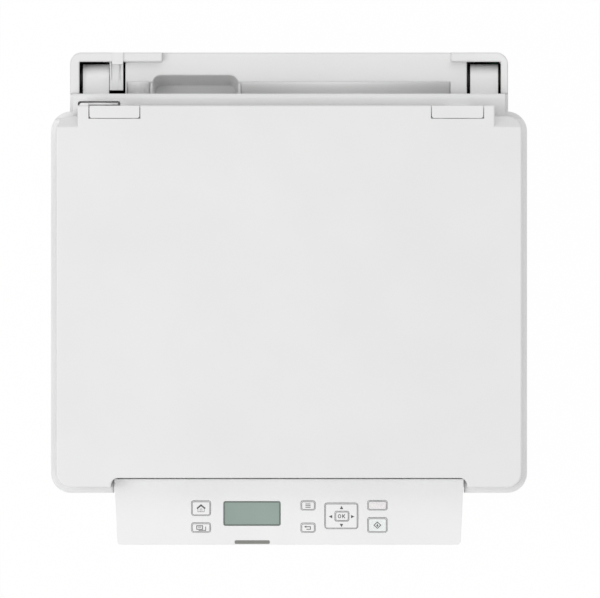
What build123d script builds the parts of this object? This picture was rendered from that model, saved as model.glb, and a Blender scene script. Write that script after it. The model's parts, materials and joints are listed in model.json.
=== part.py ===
from build123d import *
import os
from math import atan, atan2, cos, degrees, pi, radians, sin, sqrt

# Laser multifunction printer, millimetres.
# +X to the right seen from the front, -Y the front, +Z up.
# The origin is at the middle of the footprint, on the surface it stands on.

# Casing, driving sizes
BODY_W = 343.0
BODY_HALF = BODY_W / 2
BODY_FRONT = -148.0
REAR = 192.5
FOOT_H = 3.0
FOOT_R = 9.0
FOOT_INSET_X = 28.0
FOOT_INSET_Y = 28.25
BODY_TOP = 190.0
WALL = 2.5
PILLAR_W = 21.5
BODY_CORNER_R = 9.0
OUTPUT_FLOOR = 150.0
OUTPUT_REAR = 118.0
GAP = 0.3
SHAFT_CLEARANCE = 0.05

# Scanner unit
UNIT_OVERHANG = 14.5
UNIT_W = BODY_W + 2 * UNIT_OVERHANG
UNIT_HALF = UNIT_W / 2
UNIT_FRONT = -152.0
UNIT_REAR = 146.0
UNIT_BOTTOM = 200.0
UNIT_TOP = UNIT_BOTTOM + 28.0
UNIT_CORNER_R = 15.6
STRIP_W = UNIT_W - 34.0
STRIP_REAR = 160.0
STRIP_TOP = UNIT_TOP - 4.0
FRAME_REAR = 140.0
PLATEN_W = 299.0
PLATEN_D = 217.0
PLATEN_Y = 4.0
GLASS_T = 3.0
GLASS_LEDGE = 8.0

# Lid
LID_H = 27.0
LID_TOP = UNIT_TOP + LID_H
LID_INSET = 4.0
LID_SHELL = 2.5
TONGUE_LEFT = 21.0 - UNIT_HALF
TONGUE_RIGHT = UNIT_HALF - 25.6
TONGUE_REAR = 150.4
LID_AXIS_Y = 145.5
LID_AXIS_Z = UNIT_TOP + 5.0
LID_PIN_R = 2.5
LEAF_SPANS = ((30.4 - UNIT_HALF, 69.4 - UNIT_HALF), (UNIT_HALF - 74.6, UNIT_HALF - 34.6))
LEAF_DEPTH = 9.7

# Scanner lift hinge
LIFT_Y = 172.0
LIFT_Z = 178.5
LIFT_PIN_R = 3.0
ARM_END_R = 11.5
ARM_SPANS = ((10.0 - BODY_HALF, 30.5 - BODY_HALF), (BODY_HALF - 29.5, BODY_HALF - 7.7))
WELL_SPANS = ((7.3 - BODY_HALF, 43.3 - BODY_HALF), (BODY_HALF - 32.2, BODY_HALF - 5.6))
WELL_REAR = 185.3
WELL_FLOOR = 163.0
BRACKET_T = 2.0

# Control panel
PANEL_W = 272.6
PANEL_FRONT = -192.5
PANEL_REAR = -141.2
PANEL_FRONT_TOP = 226.0
PANEL_REAR_TOP = 234.0
PANEL_BOTTOM = 204.0
PANEL_WALL = 2.5
KEY_TRAVEL = 1.2
KEY_GAP = 0.35
KEY_PROUD = 0.9
BOARD_DEPTH = 9.0

# Paper
SHEET_W = 210.0
ROLLER_HALF = SHEET_W / 2 + 7.0
GUIDE_T = 2.5

BODY_INNER = BODY_HALF - WALL
FRAME_X = BODY_HALF - PILLAR_W - WALL
FRAME_T = 2.0
LID_HALF = UNIT_HALF - LID_INSET - 0.5
PANEL_TILT = degrees(atan((PANEL_REAR_TOP - PANEL_FRONT_TOP) / (PANEL_REAR - PANEL_FRONT)))
FLOOR_TOP = FOOT_H + WALL


def block(x, y, z, mode=Mode.ADD):
    """A box between two corners, each of x, y and z given as (low, high)."""
    with Locations(((x[0] + x[1]) / 2, (y[0] + y[1]) / 2, (z[0] + z[1]) / 2)):
        Box(x[1] - x[0], y[1] - y[0], z[1] - z[0], mode=mode)


def rod_x(x, y, z, radius, mode=Mode.ADD):
    """A round rod along X."""
    with Locations(((x[0] + x[1]) / 2, y, z)):
        Cylinder(radius, x[1] - x[0], rotation=(0, 90, 0), mode=mode)


def rod_y(x, y, z, radius, mode=Mode.ADD):
    """A round rod along Y."""
    with Locations((x, (y[0] + y[1]) / 2, z)):
        Cylinder(radius, y[1] - y[0], rotation=(90, 0, 0), mode=mode)


def rod_z(x, y, z, radius, mode=Mode.ADD):
    """A round rod along Z."""
    with Locations((x, y, (z[0] + z[1]) / 2)):
        Cylinder(radius, z[1] - z[0], mode=mode)


def finish(piece, name):
    """Label a finished piece and write it."""
    piece.part.label = name
    export_step(piece.part, f"parts/{name}.step")


def side_plane(x):
    """Sketch plane across the machine: local x is +Y, local y is +Z, it faces +X."""
    return Plane(origin=(x, 0, 0), x_dir=(0, 1, 0), z_dir=(1, 0, 0))


def panel_plane(depth=0.0):
    """The control panel's tilted top face, or a plane below it."""
    tilt = radians(PANEL_TILT)
    normal = Vector(0, -sin(tilt), cos(tilt))
    origin = Vector(0, PANEL_FRONT, PANEL_FRONT_TOP) - normal * depth
    return Plane(origin=origin, x_dir=(1, 0, 0), z_dir=normal)


def on_panel(x, y):
    """A plan position given in the panel plane's own coordinates."""
    return (x, (y - PANEL_FRONT) / cos(radians(PANEL_TILT)))


os.makedirs("parts", exist_ok=True)

# Casing, sizes that follow
COVER_TOP = UNIT_BOTTOM
INNER_X = BODY_HALF - PILLAR_W
RIM_H = 6.0
DECK_T = 2.5
DECK_BOTTOM = BODY_TOP - DECK_T
CHANNEL_FLOOR = 186.0
CHANNEL_REAR = 166.8
CHANNEL_SLOPE = 3.0
CHANNEL_X = (WELL_SPANS[0][1] + 1.2, WELL_SPANS[1][0] - 12.9)
POCKET_X = (-106.9, -39.8)
POCKET_FRONT = 150.0
POCKET_REAR = 174.8
POCKET_FLOOR = 165.0
POCKET_FLOOR_REAR = 167.4
POCKET_SIDE_SLOPE = 2.0
POCKET_R = 6.6
DOOR_X = BODY_HALF - 43.5
DOOR_BOTTOM = 24.0
DOOR_TOP = 168.0
DOOR_T = 6.0
DOOR_PIN_Y = REAR - 3.5
DOOR_PIN_Z = 29.0
DOOR_PIN_R = 2.0
FRONT_Y = (BODY_FRONT, BODY_FRONT + 8.0)
FRONT_COVER_X = 120.0
FRONT_COVER_TOP = 140.0
FRONT_PIN_Y = BODY_FRONT + 3.4
FRONT_PIN_Z = 12.0
FRONT_PIN_R = 2.5
TRAY_FLOOR = 17.0
TRAY_X = 118.0
TRAY_Y = (FRONT_Y[1] + 1.0, -46.0)
GUIDE_RACK_Z = (9.5, 13.0)
PINION_Y = -114.0
PINION_TEETH = 10
GUIDE_TRAVEL = 50.0
LIFT_PLATE_X = 100.0
LIFT_PLATE_Y = (-90.0, -32.0)
LIFT_PLATE_Z = TRAY_FLOOR + 2.0
LIFT_PLATE_PIN_R = 1.5

# Rollers: (y, z, radius)
PICKUP = (-30.0, 62.0, 14.0)
FEED = (10.0, 50.0, 5.0)
TRANSFER = (60.0, 51.6, 6.0)
DRUM = (60.0, 70.0, 12.0)
PRESSURE = (140.0, 57.6, 10.0)
HEAT = (140.0, 78.0, 10.0)
EXIT = (130.0, 152.0, 5.0)
SHAFT_R = 3.0
ROLLER_SHAFTS = (PICKUP, FEED, TRANSFER, DRUM, PRESSURE, HEAT, EXIT)

# Gears, all of one module, on the left of the side frames
MODULE = 1.0
BACKLASH = 0.35
GEAR_X = (-FRAME_X - 14.5, -FRAME_X - 6.5)
MOTOR_SHAFT_R = 2.0

# Air slots in the side walls
VENT_COUNT = 12
VENT_X = (BODY_HALF - WALL - 1.0, BODY_HALF + 1.0)
VENT_Y = 62.0
VENT_PITCH = 6.0
VENT_W = 2.4
VENT_Z = (92.0, 128.0)

# Power button, on the front of the right pillar
POWER_X = BODY_HALF - 12.5
POWER_Z = 172.0
POWER_R = 5.0
POWER_PROUD = 0.8


def side_cover(side, name):
    """One side of the casing: a shell round both corners, with the hollow pillar beside the output."""
    outer = (BODY_HALF - PILLAR_W, BODY_HALF)
    open_hollow = (BODY_HALF - PILLAR_W - BODY_CORNER_R, BODY_HALF - WALL)
    pillar_hollow = (INNER_X + WALL, BODY_HALF - WALL)
    hollows = (
        (open_hollow, BODY_FRONT + WALL, FOOT_H - 1, OUTPUT_FLOOR - WALL),
        (pillar_hollow, BODY_FRONT + WALL, OUTPUT_FLOOR - WALL - 1, COVER_TOP - WALL),
        (open_hollow, OUTPUT_REAR, OUTPUT_FLOOR - WALL - 1, COVER_TOP + 1),
    )

    def span(pair):
        return pair if side > 0 else (-pair[1], -pair[0])

    with BuildPart() as cover:
        block(span(outer), (BODY_FRONT, REAR), (FOOT_H, COVER_TOP))
        corners = cover.edges().filter_by(Axis.Z).group_by(Axis.X)[-1 if side > 0 else 0]
        fillet(corners, BODY_CORNER_R)
        for width, front, bottom, top in hollows:
            low, high = span(width)
            with BuildSketch(Plane.XY.offset(bottom)):
                with Locations(((low + high) / 2, (front + REAR - WALL) / 2)):
                    RectangleRounded(high - low, REAR - WALL - front, BODY_CORNER_R - WALL)
            extrude(amount=top - bottom, mode=Mode.SUBTRACT)
        block(span(outer), (STRIP_REAR - GAP, REAR), (DECK_BOTTOM - GAP, COVER_TOP), mode=Mode.SUBTRACT)
        for index in range(VENT_COUNT):
            slot_y = VENT_Y + index * VENT_PITCH
            block(span(VENT_X), (slot_y, slot_y + VENT_W), VENT_Z, mode=Mode.SUBTRACT)
        if side > 0:
            button_y = (BODY_FRONT, BODY_FRONT + BODY_CORNER_R)
            rod_y(POWER_X, button_y, POWER_Z, POWER_R + KEY_GAP, mode=Mode.SUBTRACT)
    finish(cover, name)


side_cover(-1, "left_cover")
side_cover(1, "right_cover")

with BuildPart() as power_button:
    rod_y(POWER_X, (BODY_FRONT - POWER_PROUD, BODY_FRONT + 6), POWER_Z, POWER_R)
    chamfer(power_button.edges().filter_by(GeomType.CIRCLE).sort_by(Axis.Y)[0], 0.6)
finish(power_button, "power_button")

# Base pan with the floor of the paper tray
PAN_RIM = 8.0
PAN_X = BODY_INNER - GAP
PAN_Y = (BODY_FRONT + WALL + GAP, REAR - WALL - GAP)
GUIDE_SLOT_W = 5.0
RACK_OFFSET = MODULE * PINION_TEETH / 2
with BuildPart() as base_pan:
    block((-PAN_X, PAN_X), PAN_Y, (FOOT_H, FLOOR_TOP + PAN_RIM))
    fillet(base_pan.edges().filter_by(Axis.Z), BODY_CORNER_R - WALL)
    block(
        (-PAN_X + 2, PAN_X - 2),
        (PAN_Y[0] - 1, PAN_Y[1] - 2),
        (FLOOR_TOP, FLOOR_TOP + PAN_RIM + 1),
        mode=Mode.SUBTRACT,
    )
    block((-TRAY_X, TRAY_X), TRAY_Y, (FLOOR_TOP, TRAY_FLOOR))
    block(
        (-TRAY_X + 3, TRAY_X - 3),
        (TRAY_Y[0] + 3, TRAY_Y[1] - 12),
        (FLOOR_TOP, TRAY_FLOOR - 2.5),
        mode=Mode.SUBTRACT,
    )
    for side in (-1, 1):
        slot_x = sorted((side * (SHEET_W / 2 - GUIDE_TRAVEL - 5), side * (SHEET_W / 2 + 6)))
        slot_y = PINION_Y + side * (RACK_OFFSET + 1.25 * MODULE + GUIDE_SLOT_W / 2 - 0.8)
        block(
            slot_x,
            (slot_y - GUIDE_SLOT_W / 2, slot_y + GUIDE_SLOT_W / 2),
            (TRAY_FLOOR - 3, TRAY_FLOOR + 1),
            mode=Mode.SUBTRACT,
        )
        ear_x = sorted((side * (LIFT_PLATE_X + 4), side * (LIFT_PLATE_X + 8)))
        ear_y = LIFT_PLATE_Y[0] + LIFT_PLATE_PIN_R + 1
        block(ear_x, (ear_y - 4, ear_y + 4), (TRAY_FLOOR, LIFT_PLATE_Z + 4))
        rod_x(ear_x, ear_y, LIFT_PLATE_Z, LIFT_PLATE_PIN_R + SHAFT_CLEARANCE, mode=Mode.SUBTRACT)
    rod_z(0, PINION_Y, (FLOOR_TOP, GUIDE_RACK_Z[0] - 0.1), 4.0)
    rod_z(0, PINION_Y, (GUIDE_RACK_Z[0] - 0.1, GUIDE_RACK_Z[1]), 1.5)
finish(base_pan, "base_pan")

# Four rubber feet under the pan
with BuildPart() as feet:
    with Locations((0, (BODY_FRONT + REAR) / 2, 0)):
        with GridLocations(BODY_W - 2 * FOOT_INSET_X, REAR - BODY_FRONT - 2 * FOOT_INSET_Y, 2, 2):
            Cylinder(FOOT_R, FOOT_H, align=(Align.CENTER, Align.CENTER, Align.MIN))
    chamfer(feet.edges().filter_by(GeomType.CIRCLE).group_by(Axis.Z)[0], 0.6)
finish(feet, "feet")

# Front frame: posts beside the tray opening and a bar below the output
FRAME_Z = (FLOOR_TOP, OUTPUT_FLOOR - 0.3)
with BuildPart() as front_frame:
    block((-INNER_X + GAP, INNER_X - GAP), FRONT_Y, FRAME_Z)
    block(
        (-FRONT_COVER_X, FRONT_COVER_X),
        (FRONT_Y[0] - 1, FRONT_Y[1] + 1),
        (FRAME_Z[0] - 1, FRONT_COVER_TOP + 0.5),
        mode=Mode.SUBTRACT,
    )
    rod_x(
        (-FRONT_COVER_X - 8, FRONT_COVER_X + 8),
        FRONT_PIN_Y,
        FRONT_PIN_Z,
        FRONT_PIN_R + SHAFT_CLEARANCE,
        mode=Mode.SUBTRACT,
    )
    fillet(front_frame.edges().filter_by(Axis.X).group_by(Axis.Z)[-1].sort_by(Axis.Y)[0], 2.0)
finish(front_frame, "front_frame")

# Front cover, which folds down as the paper tray
COVER_FACE_X = FRONT_COVER_X - 0.6
COVER_Y = (BODY_FRONT, BODY_FRONT + 6.7)
GRIP_X = 22.0
EXT_X = 70.0
EXT_T = 2.4
EXT_Y = (COVER_Y[1] - 3.4, COVER_Y[1] - 3.4 + EXT_T)
EXT_Z = (78.0, FRONT_COVER_TOP - 1.0)
with BuildPart() as front_cover:
    block((-COVER_FACE_X, COVER_FACE_X), COVER_Y, (FRONT_PIN_Z - 2.6, FRONT_COVER_TOP))
    fillet(front_cover.edges().filter_by(Axis.Y), 3.0)
    chamfer(front_cover.faces().sort_by(Axis.Y)[0].edges(), 1.0)
    block(
        (-COVER_FACE_X + 6, COVER_FACE_X - 6),
        (COVER_Y[1] - 1.0, COVER_Y[1] + 1),
        (24, FRONT_COVER_TOP - 2),
        mode=Mode.SUBTRACT,
    )
    block(
        (-EXT_X - GAP, EXT_X + GAP),
        (EXT_Y[0] - GAP, EXT_Y[1] + GAP),
        (EXT_Z[0] - GAP, FRONT_COVER_TOP + 1),
        mode=Mode.SUBTRACT,
    )
    grip_z = (FRONT_COVER_TOP - 13, FRONT_COVER_TOP - 5)
    block((-GRIP_X, GRIP_X), (COVER_Y[0] - 1, COVER_Y[0] + 2.2), grip_z, mode=Mode.SUBTRACT)
    rod_x((-FRONT_COVER_X - 7, FRONT_COVER_X + 7), FRONT_PIN_Y, FRONT_PIN_Z, FRONT_PIN_R)
finish(front_cover, "front_cover")

# Extension that slides out of the tray's end
with BuildPart() as tray_extension:
    block((-EXT_X, EXT_X), EXT_Y, EXT_Z)
    fillet(tray_extension.edges().filter_by(Axis.Y), 2.0)
    block((-40, 40), (EXT_Y[0] - 1, EXT_Y[1] + 1), (EXT_Z[0] + 12, EXT_Z[1] - 16), mode=Mode.SUBTRACT)
finish(tray_extension, "tray_extension")


def gear_outline(teeth, phase, bore):
    """Spur gear profile: straight flanks between an involute tooth's root and tip, thinned by the backlash."""
    pitch = MODULE * teeth / 2
    base = pitch * cos(radians(20))
    root = pitch - 1.25 * MODULE
    tip = pitch + 0.9 * MODULE

    def involute(radius):
        swing = sqrt(max((radius / base) ** 2 - 1, 0))
        return swing - atan(swing)

    half_pitch = pi / (2 * teeth) - BACKLASH / (4 * pitch)
    flank = [(r, half_pitch + involute(pitch) - involute(r)) for r in (root, tip)]
    points = []
    for tooth in range(teeth):
        middle = radians(phase) + 2 * pi * tooth / teeth
        rise = [(r, middle - half) for r, half in flank]
        fall = [(r, middle + half) for r, half in reversed(flank)]
        points += [(r * cos(angle), r * sin(angle)) for r, angle in rise + fall]
    Polygon(*points, align=None)
    Circle(bore, mode=Mode.SUBTRACT)


def phase_in_mesh(driver, follower):
    """Tooth phase in degrees that puts the follower's gap on the driver's tooth.

    Each gear is given as (y, z, teeth, phase).
    """
    line = degrees(atan2(follower[1] - driver[1], follower[0] - driver[0]))
    return line + 180 + (driver[2] * (line - driver[3]) - 180) / follower[2]


def centre_between(a, b, reach_a, reach_b):
    """The upper point that lies reach_a from point a and reach_b from point b."""
    dy = b[0] - a[0]
    dz = b[1] - a[1]
    span = sqrt(dy * dy + dz * dz)
    along = (reach_a**2 - reach_b**2 + span**2) / (2 * span)
    up = sqrt(reach_a**2 - along**2)
    return (a[0] + (along * dy - up * dz) / span, a[1] + (along * dz + up * dy) / span)


# Gear train: (y, z, teeth, phase)
DRUM_GEAR = (DRUM[0], DRUM[1], 40, 0.0)
ROLLER_GEAR_TEETH = 32
FUSER_IDLER_TEETH = 48
FEED_IDLER_TEETH = 60
MOTOR_TEETH = 12
MOTOR_ANGLE = 100.0


def meshed(driver, place, teeth):
    """A gear at a place, turned so that it meshes with its driver."""
    return (*place, teeth, phase_in_mesh(driver, (*place, teeth, 0.0)))


def centre_reach(teeth_a, teeth_b):
    """Distance between the axes of two meshed gears."""
    return MODULE * (teeth_a + teeth_b) / 2


fuser_idler_place = centre_between(
    DRUM_GEAR,
    HEAT,
    centre_reach(DRUM_GEAR[2], FUSER_IDLER_TEETH),
    centre_reach(ROLLER_GEAR_TEETH, FUSER_IDLER_TEETH),
)
feed_idler_place = centre_between(
    PICKUP,
    DRUM_GEAR,
    centre_reach(ROLLER_GEAR_TEETH, FEED_IDLER_TEETH),
    centre_reach(DRUM_GEAR[2], FEED_IDLER_TEETH),
)
motor_reach = centre_reach(DRUM_GEAR[2], MOTOR_TEETH)
motor_place = (
    DRUM[0] + motor_reach * cos(radians(MOTOR_ANGLE)),
    DRUM[1] + motor_reach * sin(radians(MOTOR_ANGLE)),
)
FUSER_IDLER = meshed(DRUM_GEAR, fuser_idler_place, FUSER_IDLER_TEETH)
FEED_IDLER = meshed(DRUM_GEAR, feed_idler_place, FEED_IDLER_TEETH)
MOTOR_GEAR = meshed(DRUM_GEAR, motor_place, MOTOR_TEETH)
HEAT_GEAR = meshed(FUSER_IDLER, HEAT[:2], ROLLER_GEAR_TEETH)
PICKUP_GEAR = meshed(FEED_IDLER, PICKUP[:2], ROLLER_GEAR_TEETH)

# Side frames: pressed plates that carry every shaft and the idler pins
PLATE_X = (FRAME_X, FRAME_X + FRAME_T)
PLATE_Y = (FRONT_Y[1] + 1.0, REAR - 8.5)
LOW_TOP = OUTPUT_FLOOR - 5.5
STEP_Y = 106.0
TRAY_PIN = (114.0, 145.0, 2.0)
MOTOR_HOLE_R = 8.0
with BuildPart() as side_frames:
    for side in (-1, 1):
        with BuildSketch(side_plane(side * PLATE_X[0] if side > 0 else -PLATE_X[1])):
            with BuildLine():
                Polyline(
                    (PLATE_Y[0], FLOOR_TOP),
                    (PLATE_Y[1], FLOOR_TOP),
                    (PLATE_Y[1], WELL_FLOOR - BRACKET_T),
                    (STEP_Y, WELL_FLOOR - BRACKET_T),
                    (STEP_Y, LOW_TOP),
                    (PLATE_Y[0], LOW_TOP),
                    close=True,
                )
            make_face()
            for y, z, radius in ROLLER_SHAFTS:
                with Locations((y, z)):
                    Circle(SHAFT_R + SHAFT_CLEARANCE, mode=Mode.SUBTRACT)
            with Locations(TRAY_PIN[:2]):
                Circle(TRAY_PIN[2] + SHAFT_CLEARANCE, mode=Mode.SUBTRACT)
            with Locations((-95, 75), (100, 25)):
                RectangleRounded(50, 24, 6, mode=Mode.SUBTRACT)
            if side < 0:
                with Locations(motor_place):
                    Circle(MOTOR_HOLE_R, mode=Mode.SUBTRACT)
        extrude(amount=FRAME_T)
    for idler in (FUSER_IDLER, FEED_IDLER):
        rod_x((GEAR_X[0] - 1.5, -PLATE_X[0] - FRAME_T / 2), idler[0], idler[1], SHAFT_R)
finish(side_frames, "side_frames")


def idler_gear(gear, name):
    """A loose gear on its pin, with a thinner web and a hub."""
    pitch = MODULE * gear[2] / 2
    with BuildPart() as wheel:
        with BuildSketch(side_plane(GEAR_X[0])):
            with Locations(gear[:2]):
                gear_outline(gear[2], gear[3], SHAFT_R + SHAFT_CLEARANCE)
        extrude(amount=GEAR_X[1] - GEAR_X[0])
        with BuildSketch(side_plane(GEAR_X[0])):
            with Locations(gear[:2]):
                Circle(pitch - 4)
                Circle(SHAFT_R + 3, mode=Mode.SUBTRACT)
        extrude(amount=2.5, mode=Mode.SUBTRACT)
    finish(wheel, name)


idler_gear(FUSER_IDLER, "fuser_idler_gear")
idler_gear(FEED_IDLER, "feed_idler_gear")


def roller(seat, half, name, gear=None, sleeve_half=None):
    """A roller on its shaft through both side frames, with a gear on the left end where it has one."""
    y, z, radius = seat
    left = GEAR_X[0] - 1.0 if gear else -PLATE_X[1] - 1.0
    with BuildPart() as piece:
        rod_x((left, PLATE_X[1] + 1.0), y, z, SHAFT_R)
        if sleeve_half:
            for side in (-1, 1):
                rod_x((side * half - sleeve_half, side * half + sleeve_half), y, z, radius)
        else:
            rod_x((-half, half), y, z, radius)
        if gear:
            with BuildSketch(side_plane(GEAR_X[0])):
                with Locations((y, z)):
                    gear_outline(gear[2], gear[3], SHAFT_R / 2)
            extrude(amount=GEAR_X[1] - GEAR_X[0])
    finish(piece, name)


roller(PICKUP, 22.0, "pickup_roller", PICKUP_GEAR)
roller(FEED, 55.0, "feed_roller", sleeve_half=14.0)
roller(TRANSFER, ROLLER_HALF, "transfer_roller")
roller(DRUM, ROLLER_HALF, "drum", DRUM_GEAR)
roller(PRESSURE, ROLLER_HALF, "pressure_roller")
roller(HEAT, ROLLER_HALF, "heat_roller", HEAT_GEAR)
roller(EXIT, 60.0, "exit_roller", sleeve_half=14.0)

# Drive motor on the inside of the left frame, its pinion outside
MOTOR_R = 17.0
MOTOR_L = 22.0
with BuildPart() as drive_motor:
    rod_x((-PLATE_X[0], -PLATE_X[0] + MOTOR_L), *motor_place, MOTOR_R)
    chamfer(drive_motor.edges().filter_by(GeomType.CIRCLE).sort_by(Axis.X)[-1], 1.5)
    rod_x((-PLATE_X[1] - 1, -PLATE_X[0]), *motor_place, MOTOR_HOLE_R - GAP)
    rod_x(
        (-PLATE_X[1] - 2, -PLATE_X[0] + 10),
        *motor_place,
        MOTOR_SHAFT_R + SHAFT_CLEARANCE,
        mode=Mode.SUBTRACT,
    )
finish(drive_motor, "drive_motor")
with BuildPart() as motor_pinion:
    rod_x((GEAR_X[0], -PLATE_X[0] + 9), *motor_place, MOTOR_SHAFT_R)
    with BuildSketch(side_plane(GEAR_X[0])):
        with Locations(motor_place):
            gear_outline(MOTOR_TEETH, MOTOR_GEAR[3], MOTOR_SHAFT_R / 2)
    extrude(amount=GEAR_X[1] - GEAR_X[0])
finish(motor_pinion, "motor_pinion")

# Toner cartridge over the drum
CARTRIDGE_X = ROLLER_HALF + 6.0
CARTRIDGE_Y = (10.0, 112.0)
CARTRIDGE_Z = (66.0, 134.0)
with BuildPart() as toner_cartridge:
    with BuildSketch(side_plane(-CARTRIDGE_X)):
        with BuildLine():
            Polyline(
                (DRUM[0] - 26, CARTRIDGE_Z[0]),
                (CARTRIDGE_Y[0], CARTRIDGE_Z[0] + 24),
                (CARTRIDGE_Y[0], CARTRIDGE_Z[1] - 8),
                (CARTRIDGE_Y[0] + 8, CARTRIDGE_Z[1]),
                (CARTRIDGE_Y[1] - 8, CARTRIDGE_Z[1]),
                (CARTRIDGE_Y[1], CARTRIDGE_Z[1] - 8),
                (CARTRIDGE_Y[1], CARTRIDGE_Z[0] + 26),
                (DRUM[0] + 26, CARTRIDGE_Z[0]),
                close=True,
            )
        make_face()
        with Locations(DRUM[:2]):
            Circle(DRUM[2] + 0.6, mode=Mode.SUBTRACT)
    extrude(amount=2 * CARTRIDGE_X)
    fillet(toner_cartridge.edges().filter_by(Axis.X).group_by(Axis.Z)[-1], 3.0)
    block((-30, 30), (DRUM[0] - 6, DRUM[0] + 6), (CARTRIDGE_Z[1], CARTRIDGE_Z[1] + 6))
    fillet(toner_cartridge.edges().group_by(Axis.Z)[-1], 2.0)
finish(toner_cartridge, "toner_cartridge")

# Fuser frame round the heat and pressure rollers
FUSER_X = ROLLER_HALF + 14.0
FUSER_Y = (122.0, 158.0)
FUSER_Z = (42.0, 96.0)
PAPER_SLOT = 3.0
with BuildPart() as fuser_frame:
    block((-FUSER_X, FUSER_X), FUSER_Y, FUSER_Z)
    fillet(fuser_frame.edges().filter_by(Axis.X).group_by(Axis.Z)[-1], 6.0)
    for y, z, radius in (HEAT, PRESSURE):
        rod_x((-ROLLER_HALF - 4, ROLLER_HALF + 4), y, z, radius + 1.2, mode=Mode.SUBTRACT)
        rod_x((-FUSER_X - 1, FUSER_X + 1), y, z, SHAFT_R + SHAFT_CLEARANCE, mode=Mode.SUBTRACT)
    nip_z = (HEAT[1] - HEAT[2] + PRESSURE[1] + PRESSURE[2]) / 2
    block(
        (-ROLLER_HALF - 4, ROLLER_HALF + 4),
        (FUSER_Y[0] - 1, FUSER_Y[1] + 1),
        (nip_z - PAPER_SLOT / 2, nip_z + PAPER_SLOT / 2),
        mode=Mode.SUBTRACT,
    )
    for side in (-1, 1):
        for bracket_z in ((FUSER_Z[0], FUSER_Z[0] + 8), (FUSER_Z[1] - 6, FUSER_Z[1])):
            bracket_x = sorted((side * FUSER_X, side * PLATE_X[0]))
            block(bracket_x, (FUSER_Y[0] + 12, FUSER_Y[1] - 12), bracket_z)
finish(fuser_frame, "fuser_frame")

# Laser unit: a closed box on two rails to the side frames, with its lens towards the drum
LASER_X = 110.0
LASER_Y = (-126.0, -22.0)
LASER_Z = (104.0, 138.0)
with BuildPart() as laser_unit:
    block((-LASER_X, LASER_X), LASER_Y, LASER_Z)
    fillet(laser_unit.edges().filter_by(Axis.Z), 8.0)
    block((-90, 90), (LASER_Y[1] - 6, LASER_Y[1] + 1), (116, 126), mode=Mode.SUBTRACT)
    block((-88, 88), (LASER_Y[1] - 6, LASER_Y[1] - 2), (117, 125))
    rod_z(20, -80, (LASER_Z[1], LASER_Z[1] + 4), 24)
    for y in (LASER_Y[0] + 12, LASER_Y[1] - 24):
        block((-PLATE_X[0], PLATE_X[0]), (y, y + 10), (LASER_Z[0] - 3, LASER_Z[0]))
finish(laser_unit, "laser_unit")

# Separation pad below the pick-up roller, on its own stand on the pan
PAD_TOP = PICKUP[1] - PICKUP[2] - 2.0
with BuildPart() as separation_pad:
    block((-16, 16), (PICKUP[0] + 2, PICKUP[0] + 14), (FLOOR_TOP, PAD_TOP))
    block((-14, 14), (PICKUP[0] + 3, PICKUP[0] + 13), (PAD_TOP, PAD_TOP + 2.0 - GAP))
    fillet(separation_pad.edges().filter_by(Axis.X).group_by(Axis.Z)[-1], 1.0)
finish(separation_pad, "separation_pad")

# Lift plate that presses the sheets to the pick-up roller
lift_pin_y = LIFT_PLATE_Y[0] + LIFT_PLATE_PIN_R + 1
with BuildPart() as lift_plate:
    block(
        (-LIFT_PLATE_X, LIFT_PLATE_X),
        (lift_pin_y, LIFT_PLATE_Y[1]),
        (LIFT_PLATE_Z - 0.75, LIFT_PLATE_Z + 0.75),
    )
    for x in (-62, 0, 62):
        block((x - 18, x + 18), (lift_pin_y + 12, LIFT_PLATE_Y[1] - 8), (0, 50), mode=Mode.SUBTRACT)
    rod_x((-LIFT_PLATE_X - 7.5, LIFT_PLATE_X + 7.5), lift_pin_y, LIFT_PLATE_Z, LIFT_PLATE_PIN_R)
finish(lift_plate, "lift_plate")

# Side guides with racks that share one pinion, so they close evenly
GUIDE_H = 24.0
RACK_DEPTH = 3.5


def paper_guide(side, name):
    """One side guide: a wall on the tray floor, a foot through the slot and its rack."""
    wall_x = sorted((side * (SHEET_W / 2 + 0.5), side * (SHEET_W / 2 + 0.5 + GUIDE_T)))
    pitch_y = PINION_Y + side * RACK_OFFSET
    back_y = pitch_y + side * (RACK_DEPTH + 1.25 * MODULE)
    root_y = pitch_y + side * 1.25 * MODULE
    tooth = pi * MODULE
    with BuildPart() as guide:
        block(wall_x, (TRAY_Y[0] + 2, LIFT_PLATE_Y[0] - 5), (TRAY_FLOOR + 0.1, TRAY_FLOOR + GUIDE_H))
        fillet(guide.edges().filter_by(Axis.X).group_by(Axis.Z)[-1], 5.0)
        foot_y = sorted((root_y, root_y + side * (GUIDE_SLOT_W - 1.6)))
        block(wall_x, foot_y, (GUIDE_RACK_Z[1] - 1, TRAY_FLOOR + 1))
        block(sorted((-side * 6, wall_x[0 if side < 0 else 1])), sorted((root_y, back_y)), GUIDE_RACK_Z)
        with BuildSketch(Plane.XY.offset(GUIDE_RACK_Z[0])):
            for index in range(-2, 17):
                middle = side * tooth * (index + 0.5)
                base = tooth / 4 + 1.25 * MODULE * sin(radians(20)) - BACKLASH / 4
                tip = tooth / 4 - 0.8 * MODULE * sin(radians(20)) - BACKLASH / 4
                Polygon(
                    (middle - base, root_y + side * 0.2),
                    (middle - base, root_y),
                    (middle - tip, pitch_y - side * 0.8 * MODULE),
                    (middle + tip, pitch_y - side * 0.8 * MODULE),
                    (middle + base, root_y),
                    (middle + base, root_y + side * 0.2),
                    align=None,
                )
        extrude(amount=GUIDE_RACK_Z[1] - GUIDE_RACK_Z[0])
    finish(guide, name)


paper_guide(-1, "left_paper_guide")
paper_guide(1, "right_paper_guide")
with BuildPart() as guide_pinion:
    with BuildSketch(Plane.XY.offset(GUIDE_RACK_Z[0])):
        with Locations((0, PINION_Y)):
            gear_outline(PINION_TEETH, 90.0, 1.5 + SHAFT_CLEARANCE)
    extrude(amount=GUIDE_RACK_Z[1] - GUIDE_RACK_Z[0])
finish(guide_pinion, "guide_pinion")

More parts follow.
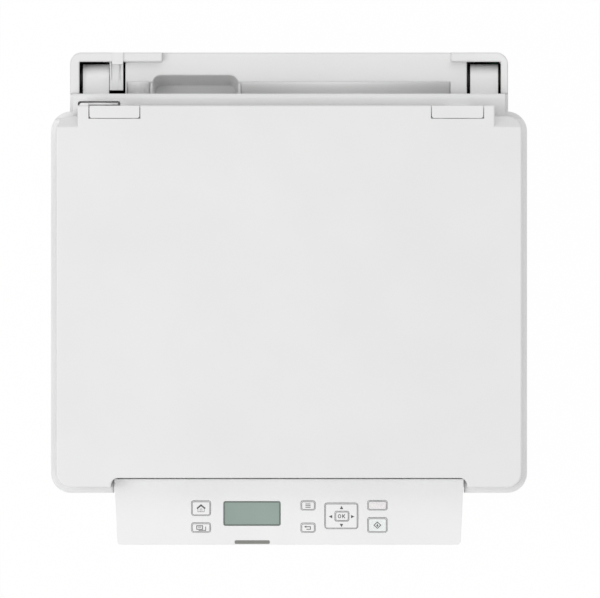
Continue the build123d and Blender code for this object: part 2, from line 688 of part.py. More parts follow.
# Output tray, which opens as the door over the toner cartridge
TRAY_HALF = FRAME_X - 0.5
TRAY_FRONT = FRONT_Y[1] + 0.5
TRAY_T = 5.0
STOP_X = 30.0
STOP_PIN = (TRAY_FRONT + 6.0, OUTPUT_FLOOR - 2.0, 1.0)
STOP_REACH = 38.0
with BuildPart() as tray_cover:
    block((-TRAY_HALF, TRAY_HALF), (TRAY_FRONT, OUTPUT_REAR), (OUTPUT_FLOOR - TRAY_T, OUTPUT_FLOOR))
    fillet(tray_cover.edges().filter_by(Axis.X).group_by(Axis.Z)[-1].sort_by(Axis.Y)[0], 1.5)
    for x in (-95, -60, 60, 95):
        block((x - 1.2, x + 1.2), (TRAY_FRONT + 10, OUTPUT_REAR - 12), (OUTPUT_FLOOR, OUTPUT_FLOOR + 1.4))
    block(
        (-STOP_X - GAP, STOP_X + GAP),
        (STOP_PIN[0] - 3.0, STOP_PIN[0] + STOP_REACH + GAP),
        (OUTPUT_FLOOR - 4.2, OUTPUT_FLOOR + 1),
        mode=Mode.SUBTRACT,
    )
    stop_hole_r = STOP_PIN[2] + SHAFT_CLEARANCE
    rod_x((-STOP_X - 4, STOP_X + 4), STOP_PIN[0], STOP_PIN[1], stop_hole_r, mode=Mode.SUBTRACT)
    rod_x((-PLATE_X[1], PLATE_X[1]), TRAY_PIN[0], TRAY_PIN[1], TRAY_PIN[2])
    rod_x((-TRAY_HALF, TRAY_HALF), TRAY_PIN[0], TRAY_PIN[1], TRAY_PIN[2] + 1.8)
finish(tray_cover, "tray_cover")

# Paper stop that flips up at the front of the output tray
with BuildPart() as paper_stop:
    stop_z = (OUTPUT_FLOOR - 3.6, OUTPUT_FLOOR - 0.4)
    block((-STOP_X, STOP_X), (STOP_PIN[0], STOP_PIN[0] + STOP_REACH), stop_z)
    fillet(paper_stop.edges().filter_by(Axis.Z).group_by(Axis.Y)[-1], 6.0)
    block((-14, 14), (STOP_PIN[0] + 24, STOP_PIN[0] + STOP_REACH + 1), (0, 200), mode=Mode.SUBTRACT)
    rod_x((-STOP_X, STOP_X), STOP_PIN[0], STOP_PIN[1], 1.6)
    rod_x((-STOP_X - 3.5, STOP_X + 3.5), STOP_PIN[0], STOP_PIN[1], STOP_PIN[2])
finish(paper_stop, "paper_stop")

# Rear top cover: the deck behind the scanner, with arm wells, finger recess and channel
DECK_X = BODY_INNER - GAP
DECK_FRONT = 122.0
REAR_WALL_X = (-INNER_X + GAP, INNER_X - GAP)
REAR_WALL_Y = (REAR - WALL, REAR)
POST_Y = (WELL_REAR, REAR)
DOOR_GAP = 0.5
RIM_SPANS = ((-BODY_HALF, 72.2 - BODY_HALF), (BODY_HALF - 44.6, BODY_HALF))
RIM_SIDES = ((-BODY_HALF, WELL_SPANS[0][0]), (WELL_SPANS[1][1], BODY_HALF))
RIM_FRONT = STRIP_REAR
with BuildPart() as rear_top_cover:
    block((-DECK_X, DECK_X), (DECK_FRONT, REAR_WALL_Y[0] - GAP), (BODY_TOP - DECK_T, BODY_TOP))
    block(REAR_WALL_X, REAR_WALL_Y, (FLOOR_TOP, BODY_TOP))
    block((-DECK_X, DECK_X), (REAR_WALL_Y[0] - 1, REAR_WALL_Y[0] - GAP), (BODY_TOP - DECK_T, BODY_TOP))
    block(REAR_WALL_X, (REAR_WALL_Y[0] - 1, REAR_WALL_Y[1]), (BODY_TOP - DECK_T, BODY_TOP))
    for side in (-1, 1):
        block(
            sorted((side * (DOOR_X + DOOR_GAP), side * (INNER_X - 4))),
            POST_Y,
            (FLOOR_TOP + PAN_RIM + 2, BODY_TOP - DECK_T),
        )
    block(
        (-DOOR_X - DOOR_GAP, DOOR_X + DOOR_GAP),
        (POST_Y[0] - 1, REAR + 1),
        (DOOR_BOTTOM - DOOR_GAP, DOOR_TOP + DOOR_GAP),
        mode=Mode.SUBTRACT,
    )
    for low, high in RIM_SPANS:
        block((low, high), (WELL_REAR, REAR), (DECK_BOTTOM, BODY_TOP + RIM_H))
    for low, high in RIM_SIDES:
        block((low, high), (RIM_FRONT, REAR), (DECK_BOTTOM, BODY_TOP + RIM_H))
    outer_corners = rear_top_cover.edges().filter_by(Axis.Z).filter_by(
        lambda edge: abs(abs(edge.center().X) - BODY_HALF) < 0.01 and abs(edge.center().Y - REAR) < 0.01
    )
    fillet(outer_corners, BODY_CORNER_R)
    rim_ends = rear_top_cover.edges().filter_by(Axis.Z).filter_by(
        lambda edge: abs(edge.center().Y - WELL_REAR) < 0.01
        and edge.center().Z > BODY_TOP
        and abs(edge.center().X) < DOOR_X
    )
    fillet(rim_ends, 1.5)
    # the channel that runs forward under the scanner
    trough_x = (CHANNEL_X[0] - 2, CHANNEL_X[1] + 2)
    block(trough_x, (DECK_FRONT, CHANNEL_REAR + 2), (CHANNEL_FLOOR - 2, BODY_TOP - 1))
    block(CHANNEL_X, (DECK_FRONT - 1, CHANNEL_REAR), (CHANNEL_FLOOR, BODY_TOP + 1), mode=Mode.SUBTRACT)
    channel_edge = rear_top_cover.edges().filter_by(Axis.X).filter_by(
        lambda edge: abs(edge.center().Y - CHANNEL_REAR) < 0.01 and abs(edge.center().Z - BODY_TOP) < 0.01
    )
    chamfer(channel_edge, CHANNEL_SLOPE)
    # the finger recess
    block(
        (POCKET_X[0] - 2, POCKET_X[1] + 2),
        (POCKET_FRONT - 2, POCKET_REAR + 2),
        (POCKET_FLOOR - 2, BODY_TOP - 1),
    )
    for level, rear, inset in (
        (POCKET_FLOOR, POCKET_FLOOR_REAR, POCKET_SIDE_SLOPE),
        (BODY_TOP, POCKET_REAR, 0.0),
    ):
        with BuildSketch(Plane.XY.offset(level)):
            with Locations(((POCKET_X[0] + POCKET_X[1]) / 2, (POCKET_FRONT + rear) / 2)):
                RectangleRounded(POCKET_X[1] - POCKET_X[0] - 2 * inset, rear - POCKET_FRONT, POCKET_R - inset)
    loft(mode=Mode.SUBTRACT)
    # wells for the hinge arms
    for low, high in WELL_SPANS:
        well_z = (CHANNEL_FLOOR - 4, BODY_TOP + 1)
        block((low, high), (DECK_FRONT + 20, WELL_REAR), well_z, mode=Mode.SUBTRACT)
    pin_hole_r = DOOR_PIN_R + SHAFT_CLEARANCE
    rod_x((-DOOR_X - 6, DOOR_X + 6), DOOR_PIN_Y, DOOR_PIN_Z, pin_hole_r, mode=Mode.SUBTRACT)
finish(rear_top_cover, "rear_top_cover")

# Rear door over the fuser exit, hinged along its lower edge
with BuildPart() as rear_cover:
    block((-DOOR_X, DOOR_X), (REAR - DOOR_T, REAR), (DOOR_BOTTOM, DOOR_TOP))
    fillet(rear_cover.edges().filter_by(Axis.X).group_by(Axis.Z)[0].sort_by(Axis.Y)[-1], 3.2)
    hollow_z = (DOOR_BOTTOM + 9, DOOR_TOP - 4)
    block((-DOOR_X + 4, DOOR_X - 4), (REAR - DOOR_T - 1, REAR - WALL), hollow_z, mode=Mode.SUBTRACT)
    for index in range(9):
        x = -96 + 24 * index
        block((x - 0.9, x + 0.9), (REAR - DOOR_T, REAR - WALL + 0.1), (DOOR_BOTTOM + 8, DOOR_TOP - 3))
    block((-30, 30), (REAR - 1.2, REAR + 1), (DOOR_TOP - 16, DOOR_TOP - 6), mode=Mode.SUBTRACT)
    rod_x((-DOOR_X - 5, DOOR_X + 5), DOOR_PIN_Y, DOOR_PIN_Z, DOOR_PIN_R)
finish(rear_cover, "rear_cover")

# Brackets in the body that hold the lift hinge pins
with BuildPart() as hinge_brackets:
    for low, high in ARM_SPANS:
        ears = ((low - 2.4 + 0.2, low - 0.3), (high + 0.3, high + 2.0))
        for ear in ears:
            with BuildSketch(side_plane(ear[0])):
                with Locations((LIFT_Y, LIFT_Z)):
                    Circle(7.0)
                with BuildLine():
                    Polyline(
                        (LIFT_Y - 7, LIFT_Z),
                        (LIFT_Y - 7, WELL_FLOOR - BRACKET_T),
                        (LIFT_Y + 7, WELL_FLOOR - BRACKET_T),
                        (LIFT_Y + 7, LIFT_Z),
                        close=True,
                    )
                make_face()
            extrude(amount=ear[1] - ear[0])
        block((ears[0][0], ears[1][1]), (LIFT_Y - 22, LIFT_Y + 12), (WELL_FLOOR - BRACKET_T, WELL_FLOOR))
        rod_x((ears[0][0], ears[1][1]), LIFT_Y, LIFT_Z, LIFT_PIN_R)
finish(hinge_brackets, "hinge_brackets")

# Arms of the scanner base on those pins
ARM_NECK_Y = (150.0, STRIP_REAR)
with BuildPart() as hinge_arms:
    for low, high in ARM_SPANS:
        with BuildSketch(side_plane(low)):
            with BuildLine():
                Polyline(
                    (ARM_NECK_Y[0], UNIT_BOTTOM),
                    (ARM_NECK_Y[1], UNIT_BOTTOM),
                    (ARM_NECK_Y[1], LIFT_Z + ARM_END_R),
                    (LIFT_Y, LIFT_Z + ARM_END_R),
                    (LIFT_Y, LIFT_Z - ARM_END_R),
                    (LIFT_Y - 4, LIFT_Z - ARM_END_R),
                    (ARM_NECK_Y[0], 185.0),
                    close=True,
                )
            make_face()
            with Locations((LIFT_Y, LIFT_Z)):
                Circle(ARM_END_R)
                Circle(LIFT_PIN_R + SHAFT_CLEARANCE, mode=Mode.SUBTRACT)
        extrude(amount=high - low)
finish(hinge_arms, "hinge_arms")

# Guide for the flat cable from the scanner, beside the left arm and over the rear rim
CABLE_X = (ARM_SPANS[0][1] + 2.4, ARM_SPANS[0][1] + 11.0)
CABLE_FRONT = 163.0
CABLE_WALL = 1.5
CABLE_CAP_X = (ARM_SPANS[0][1] + 0.4, CABLE_X[1])
CABLE_RIBS = (ARM_SPANS[0][1] + 0.8, ARM_SPANS[0][1] + 7.4)
RIB_T = 0.8
RIB_H = 1.4
with BuildPart() as cable_guide:
    block(CABLE_X, (CABLE_FRONT, WELL_REAR - 0.2), (WELL_FLOOR, BODY_TOP))
    block(
        (CABLE_X[0] + CABLE_WALL, CABLE_X[1] - CABLE_WALL),
        (CABLE_FRONT - 1, WELL_REAR - 3.0),
        (WELL_FLOOR + 3, BODY_TOP - 2),
        mode=Mode.SUBTRACT,
    )
    block(CABLE_CAP_X, (CABLE_FRONT, WELL_REAR - 0.2), (BODY_TOP - 2, BODY_TOP))
    for x in CABLE_RIBS:
        block((x, x + RIB_T), (LIFT_Y - RIB_T, WELL_REAR - 0.2), (BODY_TOP, BODY_TOP + RIB_H))
    block(CABLE_X, (WELL_REAR - 2.0, WELL_REAR - 0.2), (BODY_TOP, BODY_TOP + RIM_H + CABLE_WALL))
    block(CABLE_X, (WELL_REAR - 0.2, REAR), (BODY_TOP + RIM_H, BODY_TOP + RIM_H + CABLE_WALL))
finish(cable_guide, "cable_guide")

# Boards stand on the outside of the right frame, on short posts
BOARD_X = (PLATE_X[1] + 4.0, PLATE_X[1] + 5.6)
BOARD_POST_R = 2.5
BOARD_POST_INSET = 6.0
LOGIC_Y = (40.0, 180.0)
LOGIC_Z = (90.0, 155.0)
LOGIC_POST_TOP = LOGIC_Z[1] - 11.0
CHIP_HALF = 9.0
CHIPS = ((80.0, 120.0, 5.0), (120.0, 130.0, 3.0), (150.0, 110.0, 6.0))
SOCKET_Y = (REAR - 20.5, REAR - WALL - 1.2)
SOCKET_Z = (118.0, 130.0)
SOCKET_H = 9.0
with BuildPart() as main_board:
    block(BOARD_X, LOGIC_Y, LOGIC_Z)
    for y, z, height in CHIPS:
        chip_x = (BOARD_X[1], BOARD_X[1] + height)
        block(chip_x, (y - CHIP_HALF, y + CHIP_HALF), (z - CHIP_HALF, z + CHIP_HALF))
    for y in (LOGIC_Y[0] + BOARD_POST_INSET, LOGIC_Y[1] - BOARD_POST_INSET):
        for z in (LOGIC_Z[0] + BOARD_POST_INSET, LOGIC_POST_TOP):
            rod_x((PLATE_X[1], BOARD_X[0]), y, z, BOARD_POST_R)
    block((BOARD_X[1], BOARD_X[1] + SOCKET_H), SOCKET_Y, SOCKET_Z)
finish(main_board, "main_board")

SUPPLY_Y = (-120.0, 20.0)
SUPPLY_Z = (20.0, 90.0)
TRANSFORMER_Y = (-100.0, -60.0)
TRANSFORMER_Z = (35.0, 75.0)
TRANSFORMER_H = 13.0
CAPACITORS_Y = (-30.0, -8.0)
CAPACITOR_Z = 60.0
CAPACITOR_R = 7.0
CAPACITOR_H = 12.0
SINK_Y = (-50.0, -42.0)
SINK_Z = (30.0, 80.0)
SINK_H = 2.0
with BuildPart() as power_supply:
    block(BOARD_X, SUPPLY_Y, SUPPLY_Z)
    block((BOARD_X[1], BOARD_X[1] + TRANSFORMER_H), TRANSFORMER_Y, TRANSFORMER_Z)
    for y in CAPACITORS_Y:
        rod_x((BOARD_X[1], BOARD_X[1] + CAPACITOR_H), y, CAPACITOR_Z, CAPACITOR_R)
    block((BOARD_X[1], BOARD_X[1] + SINK_H), SINK_Y, SINK_Z)
    for y in (SUPPLY_Y[0] + BOARD_POST_INSET, SUPPLY_Y[1] - BOARD_POST_INSET):
        for z in (SUPPLY_Z[0] + BOARD_POST_INSET, SUPPLY_Z[1] - BOARD_POST_INSET):
            rod_x((PLATE_X[1], BOARD_X[0]), y, z, BOARD_POST_R)
finish(power_supply, "power_supply")

# Sizes of what runs and seats in the scanner base
NOTCH_X = PANEL_W / 2 + 0.5
NOTCH_Y = PANEL_REAR + 0.3
POST_HALF = 9.0
BARREL_R = 4.5
POST_BODY_Y = (LID_AXIS_Y - BARREL_R, LID_AXIS_Y + BARREL_R)
POST_BOTTOM = UNIT_BOTTOM + 6.0
SLOT_X = (TONGUE_LEFT, TONGUE_LEFT + 33.2)
SLOT_REAR = 154.1
SLOT_R = 2.0
TAB_REAR = 152.4
TAB_GAP = 1.5
RAIL_Y = 6.0
RAIL_Z = UNIT_BOTTOM + 7.0
RAIL_R = 3.0
BELT_Y = 24.0
BELT_Z = (UNIT_BOTTOM + 5.0, UNIT_BOTTOM + 9.0)
BELT_T = 1.0
PULLEY_X = UNIT_HALF - 26.0
PULLEY_R = 5.0
PULLEY_PIN_R = 1.5
BELT_RUN_Y = BELT_Y - PULLEY_R - SHAFT_CLEARANCE - BELT_T
GLASS_X = PLATEN_W / 2 + GLASS_LEDGE
GLASS_Y = (PLATEN_Y - PLATEN_D / 2 - GLASS_LEDGE, PLATEN_Y + PLATEN_D / 2 + GLASS_LEDGE)
HOLLOW_Y = (NOTCH_Y + 3.0, GLASS_Y[1] + 3.0)

# Scanner unit outline: wide body, narrower strip at the rear, notch for the panel at the front
with BuildPart() as scanner_base:
    with BuildSketch(Plane.XY.offset(UNIT_BOTTOM)):
        with Locations((0, (UNIT_FRONT + UNIT_REAR) / 2)):
            RectangleRounded(UNIT_W, UNIT_REAR - UNIT_FRONT, UNIT_CORNER_R)
        with Locations((0, (UNIT_REAR - 40 + STRIP_REAR) / 2)):
            Rectangle(STRIP_W, STRIP_REAR - UNIT_REAR + 40)
    extrude(amount=STRIP_TOP - UNIT_BOTTOM)
    fillet(scanner_base.edges().group_by(Axis.Z)[0], 3.0)
    fillet(scanner_base.edges().filter_by(Axis.X).group_by(Axis.Y)[-1].sort_by(Axis.Z)[-1], 4.0)
    block((-NOTCH_X, NOTCH_X), (UNIT_FRONT - 1, NOTCH_Y), (UNIT_BOTTOM - 1, UNIT_TOP), mode=Mode.SUBTRACT)
    block(
        (-UNIT_HALF + 14, UNIT_HALF - 14),
        HOLLOW_Y,
        (UNIT_BOTTOM + 3, UNIT_TOP),
        mode=Mode.SUBTRACT,
    )
    for side in (-1, 1):
        block(
            sorted((side * (UNIT_HALF - 15), side * (UNIT_HALF - 3))),
            (UNIT_FRONT + 18, UNIT_REAR - 18),
            (UNIT_BOTTOM + 3, UNIT_TOP),
            mode=Mode.SUBTRACT,
        )
    for low, high in LEAF_SPANS:
        middle = (low + high) / 2
        block(
            (middle - POST_HALF - GAP, middle + POST_HALF + GAP),
            (POST_BODY_Y[0] - GAP, POST_BODY_Y[1] + GAP),
            (POST_BOTTOM - 2, UNIT_TOP),
            mode=Mode.SUBTRACT,
        )
    with BuildSketch(Plane.XY.offset(UNIT_BOTTOM + 6)):
        with Locations(((SLOT_X[0] + SLOT_X[1]) / 2, (POST_BODY_Y[1] - 2 + SLOT_REAR) / 2)):
            RectangleRounded(SLOT_X[1] - SLOT_X[0], SLOT_REAR - POST_BODY_Y[1] + 2, SLOT_R)
    extrude(amount=UNIT_TOP - UNIT_BOTTOM, mode=Mode.SUBTRACT)
    # guide rail of the carriage and the pulley pins, moulded with the floor
    rod_x((-UNIT_HALF + 2, UNIT_HALF - 2), RAIL_Y, RAIL_Z, RAIL_R)
    for x in (-PULLEY_X, PULLEY_X):
        rod_z(x, BELT_Y, (UNIT_BOTTOM + 2, BELT_Z[1] + 1), PULLEY_PIN_R)
finish(scanner_base, "scanner_base")

with BuildPart() as scanner_top_frame:
    with BuildSketch(Plane.XY.offset(STRIP_TOP)):
        with Locations((0, (UNIT_FRONT + UNIT_REAR) / 2)):
            RectangleRounded(UNIT_W, UNIT_REAR - UNIT_FRONT, UNIT_CORNER_R)
        with Locations((0, UNIT_FRONT + (NOTCH_Y - UNIT_FRONT) / 2)):
            Rectangle(2 * NOTCH_X, NOTCH_Y - UNIT_FRONT, mode=Mode.SUBTRACT)
        with Locations((0, FRAME_REAR + 10)):
            Rectangle(UNIT_W, 20, mode=Mode.SUBTRACT)
        with Locations((0, PLATEN_Y)):
            Rectangle(PLATEN_W, PLATEN_D, mode=Mode.SUBTRACT)
    extrude(amount=UNIT_TOP - STRIP_TOP)
    chamfer(scanner_top_frame.faces().sort_by(Axis.Z)[-1].outer_wire().edges(), 1.0)
finish(scanner_top_frame, "scanner_top_frame")

with BuildPart() as platen_glass:
    block((-GLASS_X, GLASS_X), GLASS_Y, (STRIP_TOP - GLASS_T, STRIP_TOP))
finish(platen_glass, "platen_glass")

# Image sensor on its carriage
CARRIAGE_W = 18.0
CARRIAGE_HOME = 12.0 - PULLEY_X
with BuildPart() as sensor_carriage:
    block(
        (CARRIAGE_HOME, CARRIAGE_HOME + CARRIAGE_W),
        (PLATEN_Y - PLATEN_D / 2, PLATEN_Y + PLATEN_D / 2),
        (BELT_Z[1] + 1.5, STRIP_TOP - GLASS_T - 0.6),
    )
    fillet(sensor_carriage.edges().filter_by(Axis.Z), 2.0)
    middle = CARRIAGE_HOME + CARRIAGE_W / 2
    block(
        (middle - 3, middle + 3),
        (PLATEN_Y - PLATEN_D / 2 + 6, PLATEN_Y + PLATEN_D / 2 - 6),
        (STRIP_TOP - GLASS_T - 1.6, STRIP_TOP),
        mode=Mode.SUBTRACT,
    )
    block((CARRIAGE_HOME, CARRIAGE_HOME + CARRIAGE_W), (RAIL_Y - 5, RAIL_Y + 5), (RAIL_Z - 3, BELT_Z[1] + 2))
    rail_hole_x = (CARRIAGE_HOME - 1, CARRIAGE_HOME + CARRIAGE_W + 1)
    rod_x(rail_hole_x, RAIL_Y, RAIL_Z, RAIL_R + SHAFT_CLEARANCE, mode=Mode.SUBTRACT)
    block((middle - 5, middle + 5), (BELT_RUN_Y - 3.2, BELT_RUN_Y - GAP), (BELT_Z[0], BELT_Z[1] + 2))
finish(sensor_carriage, "sensor_carriage")

# Timing belt round the two pulleys
with BuildPart() as scan_belt:
    with BuildSketch(Plane.XY.offset(BELT_Z[0])):
        with Locations((0, BELT_Y)):
            SlotCenterToCenter(2 * PULLEY_X, 2 * (PULLEY_R + SHAFT_CLEARANCE + BELT_T))
            SlotCenterToCenter(2 * PULLEY_X, 2 * (PULLEY_R + SHAFT_CLEARANCE), mode=Mode.SUBTRACT)
    extrude(amount=BELT_Z[1] - BELT_Z[0])
finish(scan_belt, "scan_belt")
for x, name in ((-PULLEY_X, "drive_pulley"), (PULLEY_X, "idler_pulley")):
    with BuildPart() as pulley:
        rod_z(x, BELT_Y, BELT_Z, PULLEY_R)
        rod_z(x, BELT_Y, (BELT_Z[0] - 0.8, BELT_Z[0] - 0.1), PULLEY_R + 2)
        rod_z(x, BELT_Y, (BELT_Z[0] - 0.2, BELT_Z[0]), PULLEY_R)
        rod_z(x, BELT_Y, (BELT_Z[0] - 2, BELT_Z[1] + 2), PULLEY_PIN_R + SHAFT_CLEARANCE, mode=Mode.SUBTRACT)
    finish(pulley, name)

# Lid hinge posts, which slide up in the base so that the lid can lie on a book
with BuildPart() as lid_hinge_posts:
    for low, high in LEAF_SPANS:
        middle = (low + high) / 2
        block((middle - POST_HALF, middle + POST_HALF), POST_BODY_Y, (POST_BOTTOM, LID_AXIS_Z))
        rod_x((middle - POST_HALF, middle + POST_HALF), LID_AXIS_Y, LID_AXIS_Z, BARREL_R)
        rod_x((low + 2, high - 2), LID_AXIS_Y, LID_AXIS_Z, LID_PIN_R)
finish(lid_hinge_posts, "lid_hinge_posts")

LEAF_BOTTOM = LID_TOP - 7.0
LEAF_Y = (TONGUE_REAR - 0.2 - LEAF_DEPTH, TONGUE_REAR - 0.2)
with BuildPart() as lid_hinge_leaves:
    for low, high in LEAF_SPANS:
        middle = (low + high) / 2
        block((low, high), LEAF_Y, (LEAF_BOTTOM, LID_TOP))
        for ear in ((low, middle - POST_HALF - GAP), (middle + POST_HALF + GAP, high)):
            block(ear, (LID_AXIS_Y - BARREL_R + 0.4, LID_AXIS_Y + BARREL_R - 0.2), (LID_AXIS_Z, LEAF_BOTTOM))
            rod_x(ear, LID_AXIS_Y, LID_AXIS_Z, BARREL_R - 0.2)
        rod_x((low - 1, high + 1), LID_AXIS_Y, LID_AXIS_Z, LID_PIN_R + SHAFT_CLEARANCE, mode=Mode.SUBTRACT)
    fillet(lid_hinge_leaves.edges().filter_by(Axis.Z).group_by(Axis.Y)[0], 2.0)
finish(lid_hinge_leaves, "lid_hinge_leaves")

# Scanner lid
LID_BOTTOM = UNIT_TOP + GAP
LID_FRONT = UNIT_FRONT + LID_INSET + 0.5
LID_REAR = UNIT_REAR - LID_INSET
LID_CORNER_R = UNIT_CORNER_R - LID_INSET
SLOPE_START = 133.6
SLOPE_DROP = 16.0
LID_NOTCH_Y = NOTCH_Y + 0.7
LID_NOTCH_R = 5.5
LID_SHELL_REAR = 126.0
LID_EDGE_R = 1.5
LEAF_GAP = 0.7
with BuildPart() as lid_cover:
    with BuildSketch(Plane.XY.offset(LID_BOTTOM)):
        with Locations((0, (LID_FRONT + LID_REAR) / 2)):
            RectangleRounded(2 * LID_HALF, LID_REAR - LID_FRONT, LID_CORNER_R)
        with Locations(((TONGUE_LEFT + TONGUE_RIGHT) / 2, (LID_REAR - 20 + TONGUE_REAR) / 2)):
            Rectangle(TONGUE_RIGHT - TONGUE_LEFT, TONGUE_REAR - LID_REAR + 20)
    extrude(amount=LID_TOP - LID_BOTTOM)
    for low, high in ((-LID_HALF - 1, TONGUE_LEFT), (TONGUE_RIGHT, LID_HALF + 1)):
        with BuildSketch(side_plane(low)):
            with BuildLine():
                Polyline(
                    (SLOPE_START, LID_TOP + 1),
                    (SLOPE_START, LID_TOP),
                    (LID_REAR + 1, LID_TOP - SLOPE_DROP),
                    (LID_REAR + 1, LID_TOP + 1),
                    close=True,
                )
            make_face()
        extrude(amount=high - low, mode=Mode.SUBTRACT)
    with BuildSketch(Plane.XY.offset(LID_BOTTOM - 1)):
        with Locations((0, LID_NOTCH_Y - 20)):
            RectangleRounded(2 * NOTCH_X + 4, 40, LID_NOTCH_R)
    extrude(amount=LID_TOP - LID_BOTTOM + 2, mode=Mode.SUBTRACT)
    lid_edges = lid_cover.faces().sort_by(Axis.Z)[-1].outer_wire().edges()
    fillet(lid_edges, LID_EDGE_R)
    with BuildSketch(Plane.XY.offset(LID_BOTTOM)):
        with Locations(((SLOT_X[0] + SLOT_X[1]) / 2, TAB_REAR - 5)):
            RectangleRounded(SLOT_X[1] - SLOT_X[0] - 2 * TAB_GAP, 10, SLOT_R)
    extrude(amount=LID_TOP - LID_BOTTOM - LID_EDGE_R)
    for low, high in LEAF_SPANS:
        block(
            (low - LEAF_GAP, high + LEAF_GAP),
            (LEAF_Y[0] - 0.4, TAB_REAR + 1),
            (LID_BOTTOM - 1, LID_TOP + 1),
            mode=Mode.SUBTRACT,
        )
    block(
        (-LID_HALF + LID_SHELL, LID_HALF - LID_SHELL),
        (LID_NOTCH_Y + LID_SHELL, LID_SHELL_REAR),
        (LID_BOTTOM - 1, LID_TOP - LID_SHELL),
        mode=Mode.SUBTRACT,
    )
finish(lid_cover, "lid_cover")

PAD_MARGIN = 2.0
with BuildPart() as lid_backing:
    block(
        (-LID_HALF + LID_SHELL + GAP, LID_HALF - LID_SHELL - GAP),
        (LID_NOTCH_Y + LID_SHELL + GAP, LID_SHELL_REAR - GAP),
        (LID_BOTTOM, LID_BOTTOM + 2.5),
    )
    block(
        (-PLATEN_W / 2 + PAD_MARGIN, PLATEN_W / 2 - PAD_MARGIN),
        (PLATEN_Y - PLATEN_D / 2 + PAD_MARGIN, PLATEN_Y + PLATEN_D / 2 - PAD_MARGIN),
        (STRIP_TOP + GAP, LID_BOTTOM),
    )
finish(lid_backing, "lid_backing")

# Control panel
KEYS = {
    "home_key": ((-76.0, -61.4), (-169.6, -158.3), 1.6),
    "copy_key": ((-76.0, -61.4), (-182.7, -175.5), 1.6),
    "menu_key": ((9.4, 20.3), (-165.3, -158.3), 1.4),
    "back_key": ((9.4, 20.3), (-182.7, -175.7), 1.4),
    "stop_key": ((61.6, 76.5), (-165.3, -158.1), 1.4),
    "start_key": ((61.6, 76.5), (-182.7, -171.5), 1.4),
}
OK_KEY = ((36.0, 46.7), (-173.9, -166.3), 1.2)
PAD_KEY = ((28.0, 53.7), (-179.9, -160.0), 2.0)
DISPLAY = ((-50.9, -6.9), (-177.4, -158.8), 1.2)
LIGHT_BAR = ((-42.4, -15.1), (PANEL_FRONT + 0.6, PANEL_FRONT + 3.4), 0.8)
LIGHT_DEPTH = 3.0
FLANGE_T = 0.8
STEM_W = 3.0
SWITCH_GAP = 0.1
BOARD_T = 1.6
PANEL_TAPER = 2.3
PANEL_HOLLOW = 14.0
PANEL_DEPTH = (PANEL_REAR - PANEL_FRONT) / cos(radians(PANEL_TILT))


def panel_shape(seat, grow=0.0, mode=Mode.ADD):
    """A rounded rectangle on the panel, from its plan spans."""
    (x0, x1), (y0, y1), radius = seat
    low = on_panel(x0, y0)
    high = on_panel(x1, y1)
    with Locations(((low[0] + high[0]) / 2, (low[1] + high[1]) / 2)):
        RectangleRounded(high[0] - low[0] + 2 * grow, high[1] - low[1] + 2 * grow, radius + grow, mode=mode)


with BuildPart() as panel_housing:
    with BuildSketch(Plane.XY.offset(PANEL_BOTTOM)):
        with BuildLine():
            Polyline(
                (-PANEL_W / 2, PANEL_REAR),
                (PANEL_W / 2, PANEL_REAR),
                (PANEL_W / 2 - PANEL_TAPER, PANEL_FRONT),
                (-PANEL_W / 2 + PANEL_TAPER, PANEL_FRONT),
                close=True,
            )
        make_face()
    extrude(amount=40)
    fillet(panel_housing.edges().filter_by(Axis.Z).group_by(Axis.Y)[0], 3.0)
    split(bisect_by=panel_plane(), keep=Keep.BOTTOM)
    fillet(panel_housing.edges().filter_by(Axis.X).group_by(Axis.Z)[0].sort_by(Axis.Y)[0], 6.0)
    with BuildSketch(panel_plane(PANEL_WALL)):
        with Locations((0, PANEL_DEPTH / 2)):
            Rectangle(PANEL_W - 12, PANEL_DEPTH - 8)
    extrude(amount=-PANEL_HOLLOW, mode=Mode.SUBTRACT)
    with BuildSketch(panel_plane(PANEL_WALL + 1)):
        for seat in (*KEYS.values(), PAD_KEY, DISPLAY):
            panel_shape(seat, KEY_GAP)
    extrude(amount=PANEL_WALL + 2, mode=Mode.SUBTRACT)
    with BuildSketch(panel_plane(LIGHT_DEPTH)):
        panel_shape(LIGHT_BAR)
    extrude(amount=LIGHT_DEPTH + 1, mode=Mode.SUBTRACT)
finish(panel_housing, "panel_housing")

# Status light bar, let into the panel's front edge
with BuildPart() as light_bar:
    with BuildSketch(panel_plane(LIGHT_DEPTH - 0.05)):
        panel_shape(LIGHT_BAR, -0.05)
    extrude(amount=LIGHT_DEPTH - 0.05)
finish(light_bar, "light_bar")


def key(seat, name, flange_depth=PANEL_WALL, hole=None):
    """A key cap with its retaining flange and the stem down to the switch on the board."""
    (x0, x1), (y0, y1), radius = seat
    middle = on_panel((x0 + x1) / 2, (y0 + y1) / 2)
    with BuildPart() as cap:
        with BuildSketch(panel_plane(flange_depth + 0.4)):
            panel_shape(seat)
        extrude(amount=flange_depth + 0.4 + KEY_PROUD)
        chamfer(cap.faces().sort_by(Axis((0, 0, 0), panel_plane().z_dir))[-1].edges(), 0.3)
        with BuildSketch(panel_plane(flange_depth + FLANGE_T)):
            with Locations(middle):
                Rectangle(x1 - x0 + 2.0, y1 - y0 + 2.0)
        extrude(amount=FLANGE_T)
        with BuildSketch(panel_plane(flange_depth + FLANGE_T)):
            if hole:
                reach = (x1 - x0) / 2 - 1.5
                with Locations((middle[0] - reach, middle[1]), (middle[0] + reach, middle[1])):
                    Rectangle(STEM_W * 0.6, STEM_W)
            else:
                with Locations(middle):
                    Rectangle(STEM_W, STEM_W)
        extrude(amount=-(BOARD_DEPTH - KEY_TRAVEL - SWITCH_GAP - flange_depth - FLANGE_T))
        if hole:
            with BuildSketch(panel_plane(flange_depth + 1)):
                panel_shape(hole, KEY_GAP)
            extrude(amount=flange_depth + 3, mode=Mode.SUBTRACT)
    finish(cap, name)


